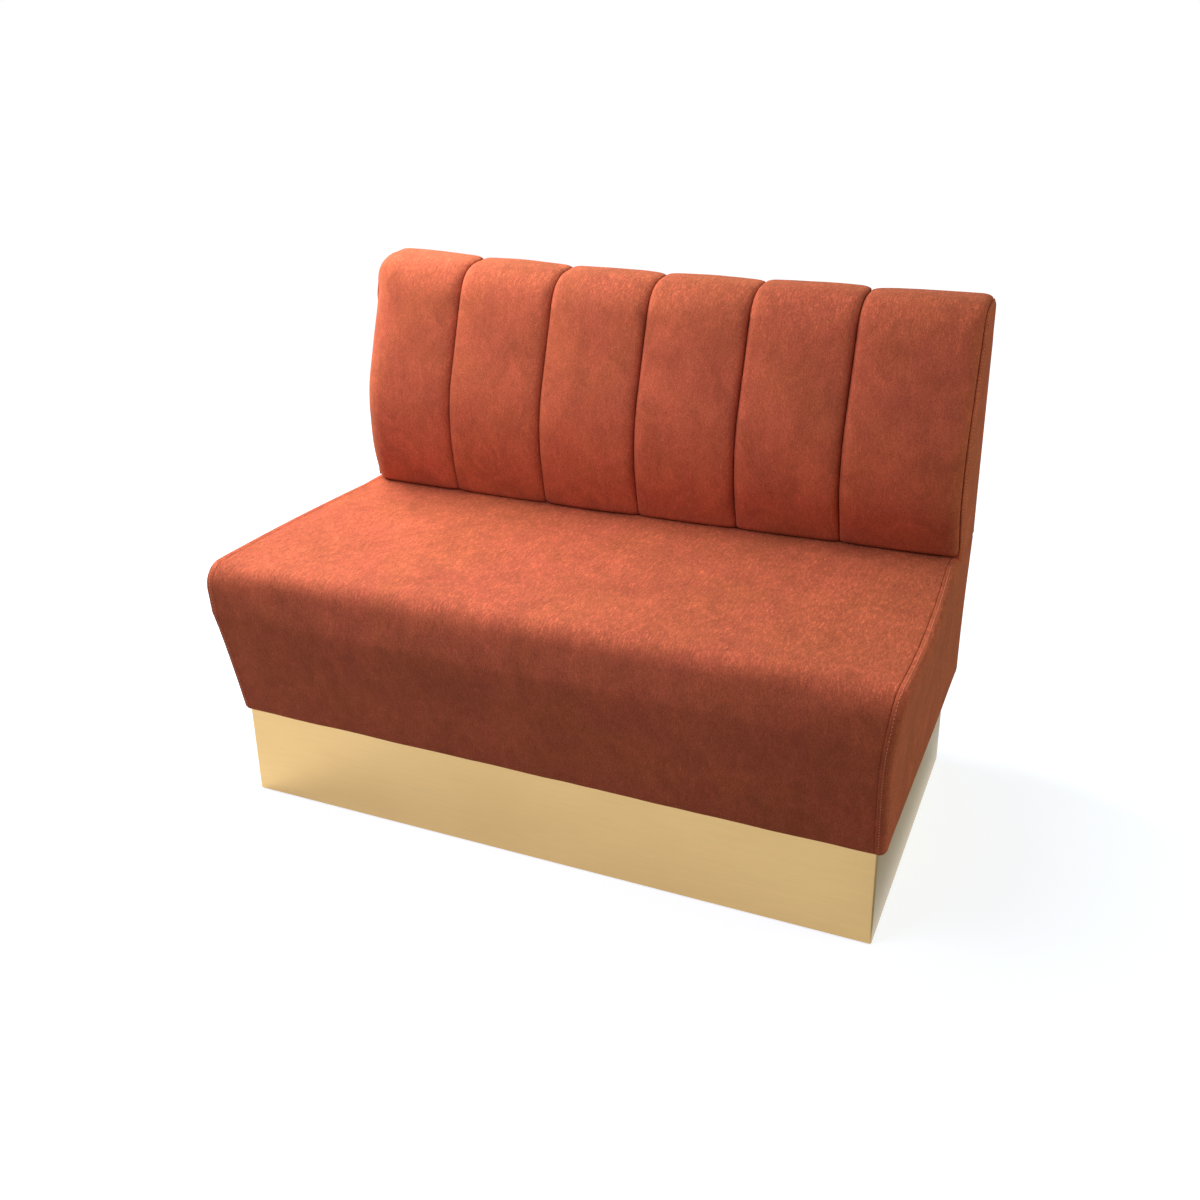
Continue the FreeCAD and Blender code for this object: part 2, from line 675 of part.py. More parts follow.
def pieces():
    back_spots = [(x, BACK_BOLT_Y) for x in BACK_BOLT_X]
    plinth_spots = [(x, y) for x in PLINTH_BOLT_X for y in (FRONT_BOLT_Y, REAR_BOLT_Y)]
    cleat_under = PLINTH_HEIGHT - CLEAT_HEIGHT
    made = {
        "plinth_cladding": plinth_cladding(),
        "plinth_front_board": plinth_front_board(),
        "plinth_left_board": mirrored(plinth_end_board()),
        "plinth_right_board": plinth_end_board(),
        "plinth_rear_board": plinth_rear_board(),
        "plinth_cross_rail": plinth_cross_rail(),
        "plinth_front_cleat": plinth_cleat(
            PLINTH_FRONT_INNER, PLINTH_FRONT_INNER + CLEAT_WIDTH, FRONT_BOLT_Y),
        "plinth_rear_cleat": plinth_cleat(
            PLINTH_REAR_INNER - CLEAT_WIDTH, PLINTH_REAR_INNER, REAR_BOLT_Y),
        "plinth_foot_blocks": Part.makeCompound(four_corners(foot_block, FOOT_X, FOOT_FRONT_Y, FOOT_REAR_Y)),
        "foot_sockets": Part.makeCompound(four_corners(foot_socket, FOOT_X, FOOT_FRONT_Y, FOOT_REAR_Y)),
        "seat_left_gable": mirrored(seat_gable()),
        "seat_right_gable": seat_gable(),
        "seat_centre_rib": seat_centre_rib(),
        "seat_front_board": seat_front_board(),
        "seat_rear_board": seat_rear_board(),
        "seat_front_batten": seat_batten(FRONT_BATTEN_Y, FRONT_BOLT_Y),
        "seat_rear_batten": seat_batten(REAR_BATTEN_Y, REAR_BOLT_Y),
        "seat_riser": seat_riser(),
        "seat_shelf": seat_shelf(),
        "seat_deck": seat_deck(),
        "seat_foam": along_bench(seat_foam_section, COVER_END - GAP),
        "seat_front_pad": seat_front_pad(),
        "seat_left_end_pad": mirrored(seat_end_pad()),
        "seat_right_end_pad": seat_end_pad(),
        "seat_cover": along_bench(seat_cover_section, COVER_END),
        "seat_left_end_cover": mirrored(seat_end_cover()),
        "seat_right_end_cover": seat_end_cover(),
        "seat_rear_cover": seat_rear_cover(),
        "back_left_rib": mirrored(back_rib(FRAME_END - BOARD)),
        "back_right_rib": back_rib(FRAME_END - BOARD),
        "back_centre_rib": back_rib(-BOARD / 2),
        "back_bottom_board": back_bottom_board(),
        "back_top_rail": back_top_rail(),
        "back_skin": back_skin(),
        "back_rear_panel": back_rear_panel(),
        "back_left_end_pad": mirrored(back_end_pad()),
        "back_right_end_pad": back_end_pad(),
        "back_left_end_cover": mirrored(back_end_cover()),
        "back_right_end_cover": back_end_cover(),
        "back_rear_cover": back_rear_cover(),
        "back_bolts": bolts(back_spots, SHELF_UNDER, BACK_BOARD_TOP),
        "back_nuts": nuts(back_spots, BACK_BOARD_TOP),
        "plinth_bolts": bolts(plinth_spots, cleat_under, BATTEN_TOP),
        "plinth_nuts": nuts(plinth_spots, BATTEN_TOP),
    }
    for index in range(CHANNELS):
        made["back_channel_%d" % (index + 1)] = back_channel(index)
    corner_names = ("front_left", "front_right", "rear_left", "rear_right")
    stems = four_corners(foot_stem, FOOT_X, FOOT_FRONT_Y, FOOT_REAR_Y)
    pads = four_corners(foot_pad, FOOT_X, FOOT_FRONT_Y, FOOT_REAR_Y)
    for corner, stem, pad in zip(corner_names, stems, pads):
        made["foot_stem_" + corner] = stem
        made["foot_pad_" + corner] = pad
    return made


os.makedirs("parts", exist_ok=True)
for node, shape in pieces().items():
    shape.exportStep("parts/%s.step" % node)
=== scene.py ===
"""Looks of the restaurant bench: sewn covers, a fluted back and a satin brass plinth.

Metres, in the part's own frame: X along the bench, the seat faces -Y, Z up, origin on the floor.
"""
import bpy
import json
import math
import numpy as np
from mathutils import Matrix, Vector, noise


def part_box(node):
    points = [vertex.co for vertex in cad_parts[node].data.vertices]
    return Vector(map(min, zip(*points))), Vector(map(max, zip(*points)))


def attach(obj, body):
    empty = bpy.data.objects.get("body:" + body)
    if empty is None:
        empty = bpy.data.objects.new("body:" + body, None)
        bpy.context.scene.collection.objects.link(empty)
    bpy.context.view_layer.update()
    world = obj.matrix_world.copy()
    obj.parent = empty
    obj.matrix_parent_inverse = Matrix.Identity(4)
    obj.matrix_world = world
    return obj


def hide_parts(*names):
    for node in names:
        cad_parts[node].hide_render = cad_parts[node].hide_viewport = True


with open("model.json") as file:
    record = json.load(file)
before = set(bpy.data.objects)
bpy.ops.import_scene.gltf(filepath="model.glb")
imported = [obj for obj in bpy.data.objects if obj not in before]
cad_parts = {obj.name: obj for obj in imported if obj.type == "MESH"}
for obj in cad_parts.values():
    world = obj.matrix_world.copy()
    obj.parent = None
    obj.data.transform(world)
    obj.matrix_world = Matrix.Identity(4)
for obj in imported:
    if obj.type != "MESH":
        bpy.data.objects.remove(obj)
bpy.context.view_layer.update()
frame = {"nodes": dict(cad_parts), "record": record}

# Places taken from the frame
SEAT_LOW, SEAT_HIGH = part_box("seat_cover")
BACK_LOW, BACK_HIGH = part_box("back_channel_3")
REAR_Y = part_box("back_rear_cover")[1].y
END_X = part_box("seat_right_end_cover")[1].x
NOSE_Y = SEAT_LOW.y
SEAT_TOP = SEAT_HIGH.z
SEAT_BOTTOM = SEAT_LOW.z
BACK_Y = BACK_LOW.y
BACK_TOP = BACK_HIGH.z
CHANNELS = sum(name.startswith("back_channel_") for name in frame["nodes"])

# Side view of the seat
FRONT_SET_BACK = 0.010
RAKE = math.radians(12.0)
FALL = math.radians(1.7)
FOLD_DROP = 0.084
FOLD_RADIUS = 0.035
NOSE_RADIUS = {"middle": 0.030, "end": 0.044}
NOSE_LEAN = {"middle": math.radians(10.0), "end": math.radians(2.0)}
NOSE_BLEND = (0.40, 0.570)  # where along X the middle's nose turns into the ends' nose
HEM_RADIUS = 0.007
REAR_CORNER = 0.012
FOOT_CORNER = 0.003
SEAT_REACH = 0.070  # hidden run of the cover under the seat, and twice that under the back

# Crown, swollen ends and fuller rear corner of the seat
SEAT_CROWN = 0.0015
CROWN_START = 0.05  # above the hem
NOSE_SWELL = 0.013
SIDE_SWELL = 0.008
REAR_SWELL = {"left": -0.004, "right": 0.006}
END_TAPER = 0.004
TAPER_BAND = (0.92, 0.55)  # shares of the seat's height
SEAT_RISE = 0.009
RISE_START_X = -0.2
RISE_START = 0.10  # behind the nose
RISE_BAND = (0.08, 0.02)  # below the seat's top
SEAT_WAVES = ((0.16, 0.0022), (0.05, 0.0006))  # unevenness as (size, height)
SEAT_COLUMNS = 110
CALM_WIDTH = 0.05  # beside the groove, where the unevenness fades

# Side view of the back
CREST_RADIUS = 0.090
TOP_FLAT = 0.046
TOP_SETTLE = 0.004
LEAN = math.radians(19.5)
LUMBAR_RISE = 0.148
LUMBAR_RADIUS = 0.300
TUCK_RADIUS = 0.369
FOOT_ROLL = 0.014
FOOT_RUN = 0.030
FOOT_CUT = 0.008
CORE_DEPTH = 0.060
REAR_WRAP = 0.032
REAR_LAP = 0.001
TOP_FACING = (-0.35, -0.95)  # upright share of the inward normal, from the front to the top
REAR_FACING = (0.0, -0.8)  # level share of the inward normal, from the top to the rear

# Uneven lines of the back
TOP_SAG = 0.009
SAG_BALANCE = 0.35
FLUTE_LIFT = (0.0012, 0.0, 0.0, 0.0012, 0.0028, 0.0)
FOOT_SKEW = 0.012
SKEW_START_X = -0.1
SKEW_HEIGHT = 0.10
FOLLOW_HEIGHT = 0.15  # over which a flute's foot follows the fuller seat

# Flutes
INNER_PITCH = 0.194
FLUTE_CROWN = 0.003
FLUTE_COLUMNS = 14
FLUTE_WAVES = ((0.09, 0.0012), (0.03, 0.0004))
SEAM_WIDTH = 0.020
SEAM_DEPTH = 0.014
SEAM_DEPTH_TOP = 0.006
SEAM_DEPTH_FOOT = 0.007
SEAM_FOOT_BAND = (0.07, -0.01)  # above the seat's top
SEAM_GAP = 0.0006
SEAM_WALL = 0.030
WALL_LAP = 0.012

# Roundings of the outer flutes as (width, depth), and the seams that they end in
END_ROUND = {"left": (0.050, 0.050), "right": (0.026, 0.018)}
END_ROUND_TOP = {"left": (0.032, 0.034), "right": (0.018, 0.008)}
END_ROUND_CORNER = {"left": (0.030, 0.026), "right": (0.016, 0.008)}
END_ROUND_REAR = (0.014, 0.006)
END_ROUND_FOOT = {"left": 0.85, "right": 0.70}  # share of the full rounding
END_BEND = 1.35
END_SEAM_X = {"left": -END_X + 0.0085, "right": END_X - 0.001}

# Sewn edges as rows of (out, inset), from the hidden hem to the panel's face
ROLL_POINTS = 9
QUARTER = np.linspace(0.0, math.pi / 2, ROLL_POINTS)
SEAM_X = END_X - 0.0008
GROOVE_X = SEAM_X - 0.0180
GROOVE_OUT = GROOVE_X - SEAM_X
GROOVE_LIP = ((0.0, 0.0014), (0.0005, 0.0007), (0.0015, 0.0002), (0.0035, 0.0))  # (away, depth)
EDGE_LAP = 0.030
EDGE_ROUND = 0.012
EDGE_END = (0.0010, 0.0240)
SEAT_EDGE = [(GROOVE_OUT, EDGE_LAP),
             *((GROOVE_OUT + away, depth) for away, depth in GROOVE_LIP),
             *zip(-EDGE_ROUND * (1 - np.sin(QUARTER)), EDGE_ROUND * (1 - np.cos(QUARTER))),
             EDGE_END]
BACK_EDGE = [(-0.0300, 0.0060), (-0.0006, 0.0050), (0.0004, 0.0022), (0.0016, 0.0018), (0.0026, 0.0034),
             (0.0034, 0.0052), (0.0034, 0.0062), (0.0042, 0.0074), (0.0054, 0.0100)]
REAR_EDGE = [(-0.0140, 0.0020), (-0.0010, 0.0000), (0.0008, 0.0008), (0.0019, 0.0026), (0.0024, 0.0060)]

# Sewn panels
PANEL_SHARES = (0.12, 0.26, 0.42, 0.58, 0.74, 0.88, 0.97)  # rings from the rim to the centre
PANEL_WAVES = ((0.08, 0.0012),)
PANEL_SLANT = 0.5  # least part of an inset that counts across the edge
SEAT_END_BULGE = 0.0050
BACK_END_BULGE = 0.0030
REAR_BULGE = 0.002
REAR_INSET = 0.0055
REAR_ROUND = 0.010
REAR_POINTS = 300
REAR_HEM_GAP = 0.004
REAR_JOINT_GAP = 0.002
REAR_FREE = 0.6  # share of the flutes' wrapped edge that stays free

# Stitches
STITCH_PITCH = 0.0062
STITCH_LENGTH = 0.0042
STITCH_RADIUS = 0.0007
STITCH_SIDES = 6
STITCH_SINK = 0.6  # share of the radius that lies in the cover
STITCH_AHEAD = 0.001
STITCH_PROFILE = ((0.0, 0.25), (0.2, 0.9), (0.5, 1.0), (0.8, 0.9), (1.0, 0.25))  # (along, thick)
TOPSTITCH_X = SEAM_X - 0.0115
TOPSTITCH_DEPTH = 0.0002
TOPSTITCH_START = 0.004  # above the hem
TOPSTITCH_END = 0.02  # behind the foot of the back
BACK_STITCH_INSET = 0.0062
BACK_STITCH_OUT = 0.0036
BACK_STITCH_START = -0.005  # above the seat's top
BACK_STITCH_END = 0.03  # before the rear

# Cloth that blows up the flutes and the seat, and the edges where it is held
FLUTE_PRESSURE = 8.0
SEAT_PRESSURE = 0.5
CLOTH_FRAMES = 10
CLOTH_QUALITY = 3
CLOTH_MASS = 0.3
CLOTH_STIFFNESS = 40.0
CLOTH_BENDING = 4.0
CLOTH_CAP = 0.003
HELD_FOOT = 0.01
HELD_REAR = 0.02
HELD_GROOVE = 0.004

# Mesh spacing
FINE_STEP = 0.002
PATH_STEP = 0.005
SAME_PLACE = 1e-6
NO_MOVE = 1e-9

# Studio
WHITE = (1.0, 1.0, 1.0)
WORLD_LIGHT = (0.29, (1.0, 0.97, 0.92))  # (strength, colour)
WORLD_MIRRORED = (0.50, WHITE)
WORLD_SEEN = (1.0, WHITE)
FLOOR_REACH = 60.0
FLOOR_PAINT_LIGHT = 0.38
FLOOR_PAINT_MIRRORED = 0.48
FLOOR_PAINT_SEEN = (0.55, 0.61, 0.80)
# Painted shadow: in reflections the floor's glow falls almost to nothing beside the bench's right end,
# where the plinth's end mirrors it.
FLOOR_MIRRORED_GLOW_AND_PAINTED_SHADOW = (0.57, 0.04)  # in reflections: glow before the bench, painted shadow beside its right end
FLOOR_PAINTED_SHADOW_X = (0.58, 0.62)
FLOOR_GLOW_SEEN = (0.70, 0.87)  # near the bench and far from it
FLOOR_AWAY = (0.8, 2.2)

# Photograph's camera
CAMERA_PLACE = (0.870, -1.975, 1.428)
CAMERA_TURN = math.radians(22.71)
CAMERA_TILT = math.radians(22.35)
CAMERA_ROLL = math.radians(-0.46)
CAMERA_LENS = 39.63
CAMERA_SENSOR = 36.0
CAMERA_SHIFT = (-0.0183, -0.0725)


# Side-view curves, as rows of (y, z)

def smooth_step(value, low, high):
    """0 up to low, 1 from high on and smooth between; low may be the larger one."""
    t = np.clip((value - low) / (high - low), 0.0, 1.0)
    return t * t * (3 - 2 * t)


def arc(centre, radius, begin, end):
    """Points on an arc about a centre, from one angle to another."""
    count = max(3, int(abs(end - begin) * radius / FINE_STEP) + 1)
    angles = np.linspace(begin, end, count)
    return np.column_stack([centre[0] + radius * np.cos(angles), centre[1] + radius * np.sin(angles)])


def spot(y, z):
    """A single point, as a stretch of its own."""
    return np.array([[y, z]])


def run_length(points):
    """Distance along a row of points, at each of them."""
    return np.append(0.0, np.cumsum(np.linalg.norm(np.diff(points, axis=0), axis=1)))


def even_path(stretches, count=None):
    """Joins stretches of points into one path with evenly spaced points."""
    points = np.vstack(stretches)
    gaps = np.linalg.norm(np.diff(points, axis=0), axis=1)
    points = points[np.append(True, gaps > SAME_PLACE)]
    length = run_length(points)
    even = np.linspace(0.0, length[-1], count or int(length[-1] / PATH_STEP) + 1)
    return np.column_stack([np.interp(even, length, points[:, axis]) for axis in (0, 1)])


def inward(points, closed=False):
    """Unit normals to the right of the path, which is the inside of the bench."""
    if closed:
        along = np.roll(points, -1, axis=0) - np.roll(points, 1, axis=0)
    else:
        along = np.gradient(points, axis=0)
    along = along / np.linalg.norm(along, axis=1)[:, None]
    return np.column_stack([along[:, 1], -along[:, 0]])


# Seat

FOLD_CENTRE = (NOSE_Y + FRONT_SET_BACK + FOLD_RADIUS, SEAT_TOP - FOLD_DROP)


def nose_centre(part):
    """Centre of the rounded nose, whose leaning face runs down to the fold in the front."""
    radius, lean = NOSE_RADIUS[part], NOSE_LEAN[part]
    z = SEAT_TOP - radius
    rise = math.sin(lean) * (z - FOLD_CENTRE[1]) + radius - FOLD_RADIUS
    return (FOLD_CENTRE[0] + rise / math.cos(lean), z)


def seat_top_z(y):
    """Height of the seat's top line, which falls a little towards the rear."""
    centre, radius = nose_centre("middle"), NOSE_RADIUS["middle"]
    return centre[1] + (radius - (y - centre[0]) * math.sin(FALL)) / math.cos(FALL)


def hem_centre():
    """Centre of the turn under the raked front."""
    z = SEAT_BOTTOM + HEM_RADIUS
    rise = math.sin(RAKE) * (FOLD_CENTRE[1] - z) + HEM_RADIUS - FOLD_RADIUS
    return (FOLD_CENTRE[0] + rise / math.cos(RAKE), z)


def seat_front_stretches(part, hem_end):
    """Under the front edge, up the raked front, past the fold and over the nose."""
    return [spot(hem_end, SEAT_BOTTOM),
            arc(hem_centre(), HEM_RADIUS, -math.pi / 2, RAKE - math.pi),
            arc(FOLD_CENTRE, FOLD_RADIUS, math.pi + RAKE, math.pi - NOSE_LEAN[part]),
            arc(nose_centre(part), NOSE_RADIUS[part], math.pi - NOSE_LEAN[part], math.pi / 2 - FALL)]


def seat_path(part, count=None):
    """Side view of the main cover, in the middle of the seat or at its ends."""
    rear = BACK_Y + 2 * SEAT_REACH
    front = seat_front_stretches(part, hem_centre()[0] + SEAT_REACH)
    return even_path(front + [spot(rear, seat_top_z(rear))], count)


def seat_outline():
    """Closed outline of the seat's ends."""
    top = seat_top_z(REAR_Y) - SEAT_CROWN
    corner = REAR_Y - REAR_CORNER
    stretches = seat_front_stretches("end", corner)
    stretches[-1] = stretches[-1] - np.array([0.0, SEAT_CROWN])
    square = REAR_Y - FOOT_CORNER
    stretches += [arc((square, top - FOOT_CORNER), FOOT_CORNER, math.pi / 2 - FALL, 0.0),
                  arc((corner, SEAT_BOTTOM + REAR_CORNER), REAR_CORNER, 0.0, -math.pi / 2)]
    return even_path(stretches)[:-1]


def end_reach(side, y, z):
    """How far the seat's ends stand out: full at the nose, drawn in towards the foot of the front."""
    rise = np.clip((z - SEAT_BOTTOM) / (SEAT_TOP - SEAT_BOTTOM), 0.0, 1.0)
    back = np.clip((y - NOSE_Y) / (BACK_Y - NOSE_Y), 0.0, 1.0)
    reach = NOSE_SWELL + (REAR_SWELL[side] - NOSE_SWELL) * back + 4 * SIDE_SWELL * back * (1 - back)
    return rise ** 2 * reach - END_TAPER * smooth_step(rise, *TAPER_BAND) * (1 - back)


def rear_rise(x, y, z):
    """How far the seat stands fuller towards its right rear corner."""
    along = np.clip((x - RISE_START_X) / (END_X - RISE_START_X), 0.0, 1.0)
    along = along * smooth_step(y, NOSE_Y + RISE_START, BACK_Y)
    return SEAT_RISE * along * smooth_step(z, SEAT_TOP - RISE_BAND[0], SEAT_TOP - RISE_BAND[1])


def seat_drop(x, y, z):
    """How far the crown takes the cover down towards the ends, less the fuller corner."""
    crown = SEAT_CROWN * (x / END_X) ** 2 * smooth_step(z, SEAT_BOTTOM + CROWN_START, SEAT_TOP)
    return crown - rear_rise(x, y, z)


# Back

ROLL_CENTRE = (REAR_Y - TOP_FLAT, BACK_TOP - TOP_SETTLE - CREST_RADIUS)
BULGE_Z = seat_top_z(ROLL_CENTRE[0]) + LUMBAR_RISE
LUMBAR_Y = ROLL_CENTRE[0] + ((BULGE_Z - ROLL_CENTRE[1]) * math.sin(LEAN) - CREST_RADIUS
                             + LUMBAR_RADIUS) / math.cos(LEAN)
TUCK_Y = LUMBAR_Y - LUMBAR_RADIUS + TUCK_RADIUS


def back_path():
    """Side view of a flute's crest, from its foot rolled in over the seat to the wrapped rear edge."""
    foot = seat_top_z(BACK_Y)
    reach = TUCK_RADIUS - FOOT_ROLL
    low = math.pi + math.asin((BULGE_Z - foot - FOOT_ROLL) / reach)
    roll = (TUCK_Y + reach * math.cos(low), BULGE_Z + reach * math.sin(low))
    lean = math.pi - LEAN
    corner = (REAR_Y - REAR_CORNER, BACK_TOP - TOP_SETTLE - REAR_CORNER)
    return even_path([spot(roll[0] + FOOT_RUN, foot),
                      arc(roll, FOOT_ROLL, 1.5 * math.pi, low),
                      arc((TUCK_Y, BULGE_Z), TUCK_RADIUS, low, math.pi),
                      arc((LUMBAR_Y, BULGE_Z), LUMBAR_RADIUS, math.pi, lean),
                      arc(ROLL_CENTRE, CREST_RADIUS, lean, math.pi / 2),
                      arc(corner, REAR_CORNER, math.pi / 2, 0.0),
                      spot(REAR_Y, corner[1] - REAR_WRAP)])


def into_core(path):
    """Unit directions from a crest towards the frame: level at the foot, never crossing at the top."""
    core = path + inward(path) * CORE_DEPTH
    core = np.minimum(core, [REAR_Y - CORE_DEPTH, BACK_TOP - CORE_DEPTH])
    ways = core - path
    ways /= np.linalg.norm(ways, axis=1)[:, None]
    foot = seat_top_z(BACK_Y)
    low = smooth_step(path[:, 1], foot + 3 * FOOT_ROLL, foot + FOOT_ROLL)[:, None]
    ways = ways * (1 - low) + np.array([1.0, 0.0]) * low
    return ways / np.linalg.norm(ways, axis=1)[:, None]


def over_top(path):
    """0 on the front of the crest, 1 on its top."""
    return smooth_step(inward(path)[:, 1], *TOP_FACING)


def end_rounding(path, side):
    """Width and depth of the rounding towards an end seam, at each point of the crest."""
    over = over_top(path)[:, None]
    behind = smooth_step(inward(path)[:, 0], *REAR_FACING)[:, None]
    behind[path[:, 1] < BULGE_Z] = 0.0
    sizes = np.array(END_ROUND[side]) * (1 - over) + np.array(END_ROUND_TOP[side]) * over
    foot = smooth_step(path[:, 1], BULGE_Z, SEAT_TOP)[:, None]
    sizes = sizes * (1 - (1 - END_ROUND_FOOT[side]) * foot)
    corner_z = BACK_TOP - REAR_CORNER
    high = smooth_step(path[:, 1], corner_z - REAR_WRAP, corner_z)[:, None]
    rear = np.array(END_ROUND_REAR) * (1 - high) + np.array(END_ROUND_CORNER[side]) * high
    return sizes * (1 - behind) + rear * behind


def top_sag(x):
    """The back's top line sags a little towards the middle."""
    return TOP_SAG * ((x / END_X) ** 2 - SAG_BALANCE)


def foot_skew(x, z):
    """The flutes' foot stands a little further back towards the right end."""
    along = np.clip((x - SKEW_START_X) / (END_X - SKEW_START_X), 0.0, 1.0)
    return FOOT_SKEW * along * smooth_step(z, SEAT_TOP + SKEW_HEIGHT, SEAT_TOP)


def foot_lift(x, z):
    """The flutes' foot follows the fuller seat."""
    return rear_rise(x, BACK_Y, SEAT_TOP) * smooth_step(z, SEAT_TOP + FOLLOW_HEIGHT, SEAT_TOP)


def back_outline(side):
    """Closed outline of a back's end: the flute's end seam, then down the rear and along the seat."""
    x = END_SEAM_X[side]
    path = back_path()
    seam = path + into_core(path) * end_rounding(path, side)[:, 1:]
    seam[:, 0] += foot_skew(x, path[:, 1])
    seam[:, 1] += over_top(path) * top_sag(x) + foot_lift(x, path[:, 1])
    seam = seam[path[:, 1] > seat_top_z(BACK_Y) + FOOT_CUT]
    foot = seat_top_z(REAR_Y) - SEAT_CROWN
    rear = REAR_Y - REAR_LAP
    return even_path([seam, spot(rear, seam[-1][1] - REAR_WRAP), spot(rear, foot),
                      spot(seam[0][0], foot), seam[:1]])[:-1]


# Meshes

def new_piece(name, points, faces, material):
    """A smooth mesh piece that moves with the bench."""
    mesh = bpy.data.meshes.new(name)
    mesh.from_pydata([tuple(p) for p in points], [], faces)
    mesh.validate()
    mesh.shade_smooth()
    mesh.materials.append(material)
    piece = bpy.data.objects.new(name, mesh)
    bpy.context.scene.collection.objects.link(piece)
    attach(piece, "bench")
    return piece


def tube_faces(rings, size, flip=False):
    """Quads between rings of equal size, each closed round, and a cap on the first and the last."""
    faces = []
    for row in range(rings - 1):
        for k in range(size):
            a = row * size + k
            b = row * size + (k + 1) % size
            faces.append((a, b, b + size, a + size))
    first = range(size)
    last = range((rings - 1) * size, rings * size)
    faces += [tuple(first)[::-1], tuple(last)]
    return [face[::-1] for face in faces] if flip else faces


def tube(name, rows, material, flip=False):
    """A closed form from rings of points."""
    return new_piece(name, np.vstack(rows), tube_faces(len(rows), len(rows[0]), flip), material)


def ripple(point, waves):
    """Smooth unevenness of a hand-made cover."""
    return sum(height * noise.noise(Vector(point) / size) for size, height in waves)


def rolled_edge(wide, deep, bend):
    """From a seam to the crest: (distance from the seam, depth); a bend above 1 flattens the slope."""
    return wide * (1 - np.cos(QUARTER) ** bend), deep * (1 - np.sin(QUARTER) ** bend)


def flute_ring(left, right, round_left, round_right, bends):
    """Front view of a flute at one height: rows of (x, depth below the crest)."""
    step_l, depth_l = rolled_edge(*round_left, bends[0])
    step_r, depth_r = rolled_edge(*round_right, bends[1])
    middle = np.linspace(left + round_left[0], right - round_right[0], FLUTE_COLUMNS)[1:-1]
    xs = np.concatenate([[left], left + step_l, middle, right - step_r[::-1], [right]])
    wall_l, wall_r = [max(deep + WALL_LAP, SEAM_WALL) for deep in (round_left[1], round_right[1])]
    depths = np.concatenate([[wall_l], depth_l, np.zeros(len(middle)), depth_r[::-1], [wall_r]])
    across = (2 * xs - left - right) / (right - left)
    return xs, depths + FLUTE_CROWN * across ** 2


def seam_places():
    """The end seams and the seams between the flutes, from left to right."""
    inner = [INNER_PITCH * (index - CHANNELS / 2) for index in range(1, CHANNELS)]
    return [END_SEAM_X["left"], *inner, END_SEAM_X["right"]]


def flute(index, material):
    """One padded flute of the back, rolled into its seams."""
    left, right = seam_places()[index:index + 2]
    path = back_path()
    ways = into_core(path)
    over = over_top(path)
    foot = smooth_step(path[:, 1], SEAT_TOP + SEAM_FOOT_BAND[0], SEAT_TOP + SEAM_FOOT_BAND[1])
    seam = SEAM_DEPTH + (SEAM_DEPTH_TOP - SEAM_DEPTH) * over + (SEAM_DEPTH_FOOT - SEAM_DEPTH) * foot
    inner = np.column_stack([np.full(len(path), SEAM_WIDTH), seam])
    first, last = index == 0, index == CHANNELS - 1
    round_left = end_rounding(path, "left") if first else inner
    round_right = end_rounding(path, "right") if last else inner
    bend = END_BEND if first else 1.0
    rows = []
    for k, (place, way) in enumerate(zip(path, ways)):
        bends = (bend + (1.0 - bend) * over[k], 1.0)
        xs, depths = flute_ring(left + SEAM_GAP, right - SEAM_GAP, round_left[k], round_right[k], bends)
        ring = []
        for x, depth in zip(xs, depths):
            y, z = place + way * depth
            lift = ripple((x, y, z), FLUTE_WAVES)
            rise = over[k] * (top_sag(x) + FLUTE_LIFT[index]) + foot_lift(x, place[1])
            ring.append((x, y - way[0] * lift + foot_skew(x, place[1]), z - way[1] * lift + rise))
        rows.append(np.array(ring))
    piece = tube("flute_%d" % (index + 1), rows, material)
    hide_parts("back_channel_%d" % (index + 1))
    return piece


def seat_ring():
    """Along the seat: rows of (x, depth below the crowned cover), from seam to seam."""
    edge = [(GROOVE_X, EDGE_LAP), *((GROOVE_X - away, depth) for away, depth in GROOVE_LIP)]
    inner = np.linspace(-edge[-1][0], edge[-1][0], SEAT_COLUMNS)[1:-1]
    return np.array([(-x, depth) for x, depth in edge] + [(x, 0.0) for x in inner] + edge[::-1])


def seat_panel(material):
    """The main cover: under the front, up the rake, over the nose and back under the flutes."""
    middle = seat_path("middle")
    end = seat_path("end", len(middle))
    ring = seat_ring()
    rounding = smooth_step(np.abs(ring[:, 0]), *NOSE_BLEND)
    calm = smooth_step(np.abs(ring[:, 0]), GROOVE_X, GROOVE_X - CALM_WIDTH)
    rows = []
    for inner, outer in zip(zip(middle, inward(middle)), zip(end, inward(end))):
        row = []
        for (x, depth), share, still in zip(ring, rounding, calm):
            place, normal = [a + (b - a) * share for a, b in zip(inner, outer)]
            y, z = place + normal * depth
            lift = still * ripple((x, y, z), SEAT_WAVES)
            wide = 1 + end_reach("right" if x > 0 else "left", y, z) / END_X
            row.append((x * wide, y - normal[0] * lift, z - seat_drop(x, y, z) - normal[1] * lift))
        rows.append(np.array(row))
    piece = tube("seat_panel", rows, material)
    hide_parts("seat_cover", "seat_foam", "seat_front_pad")
    return piece


def sewn_panel(name, outline, edge, bulge, place, material, flip=False):
    """A closed panel with a sewn edge: rings of (out, inset) round an outline, then a soft bulge."""
    centre = (outline.min(axis=0) + outline.max(axis=0)) / 2
    ways = centre - outline
    ways /= np.linalg.norm(ways, axis=1)[:, None]
    across = (ways * inward(outline, closed=True)).sum(axis=1)
    ways /= np.maximum(across, PANEL_SLANT)[:, None]
    rows = []
    for out, inset in edge:
        rows.append([place(out, a, b) for a, b in outline + ways * inset])
    last_out, last_inset = edge[-1]
    rim = outline + ways * last_inset
    for share in PANEL_SHARES:
        out = last_out + bulge * math.sin(share * math.pi / 2)
        rows.append([place(out + ripple((last_out, a, b), PANEL_WAVES), a, b)
                     for a, b in rim + (centre - rim) * share])
    return tube(name, [np.array(row) for row in rows], material, flip)


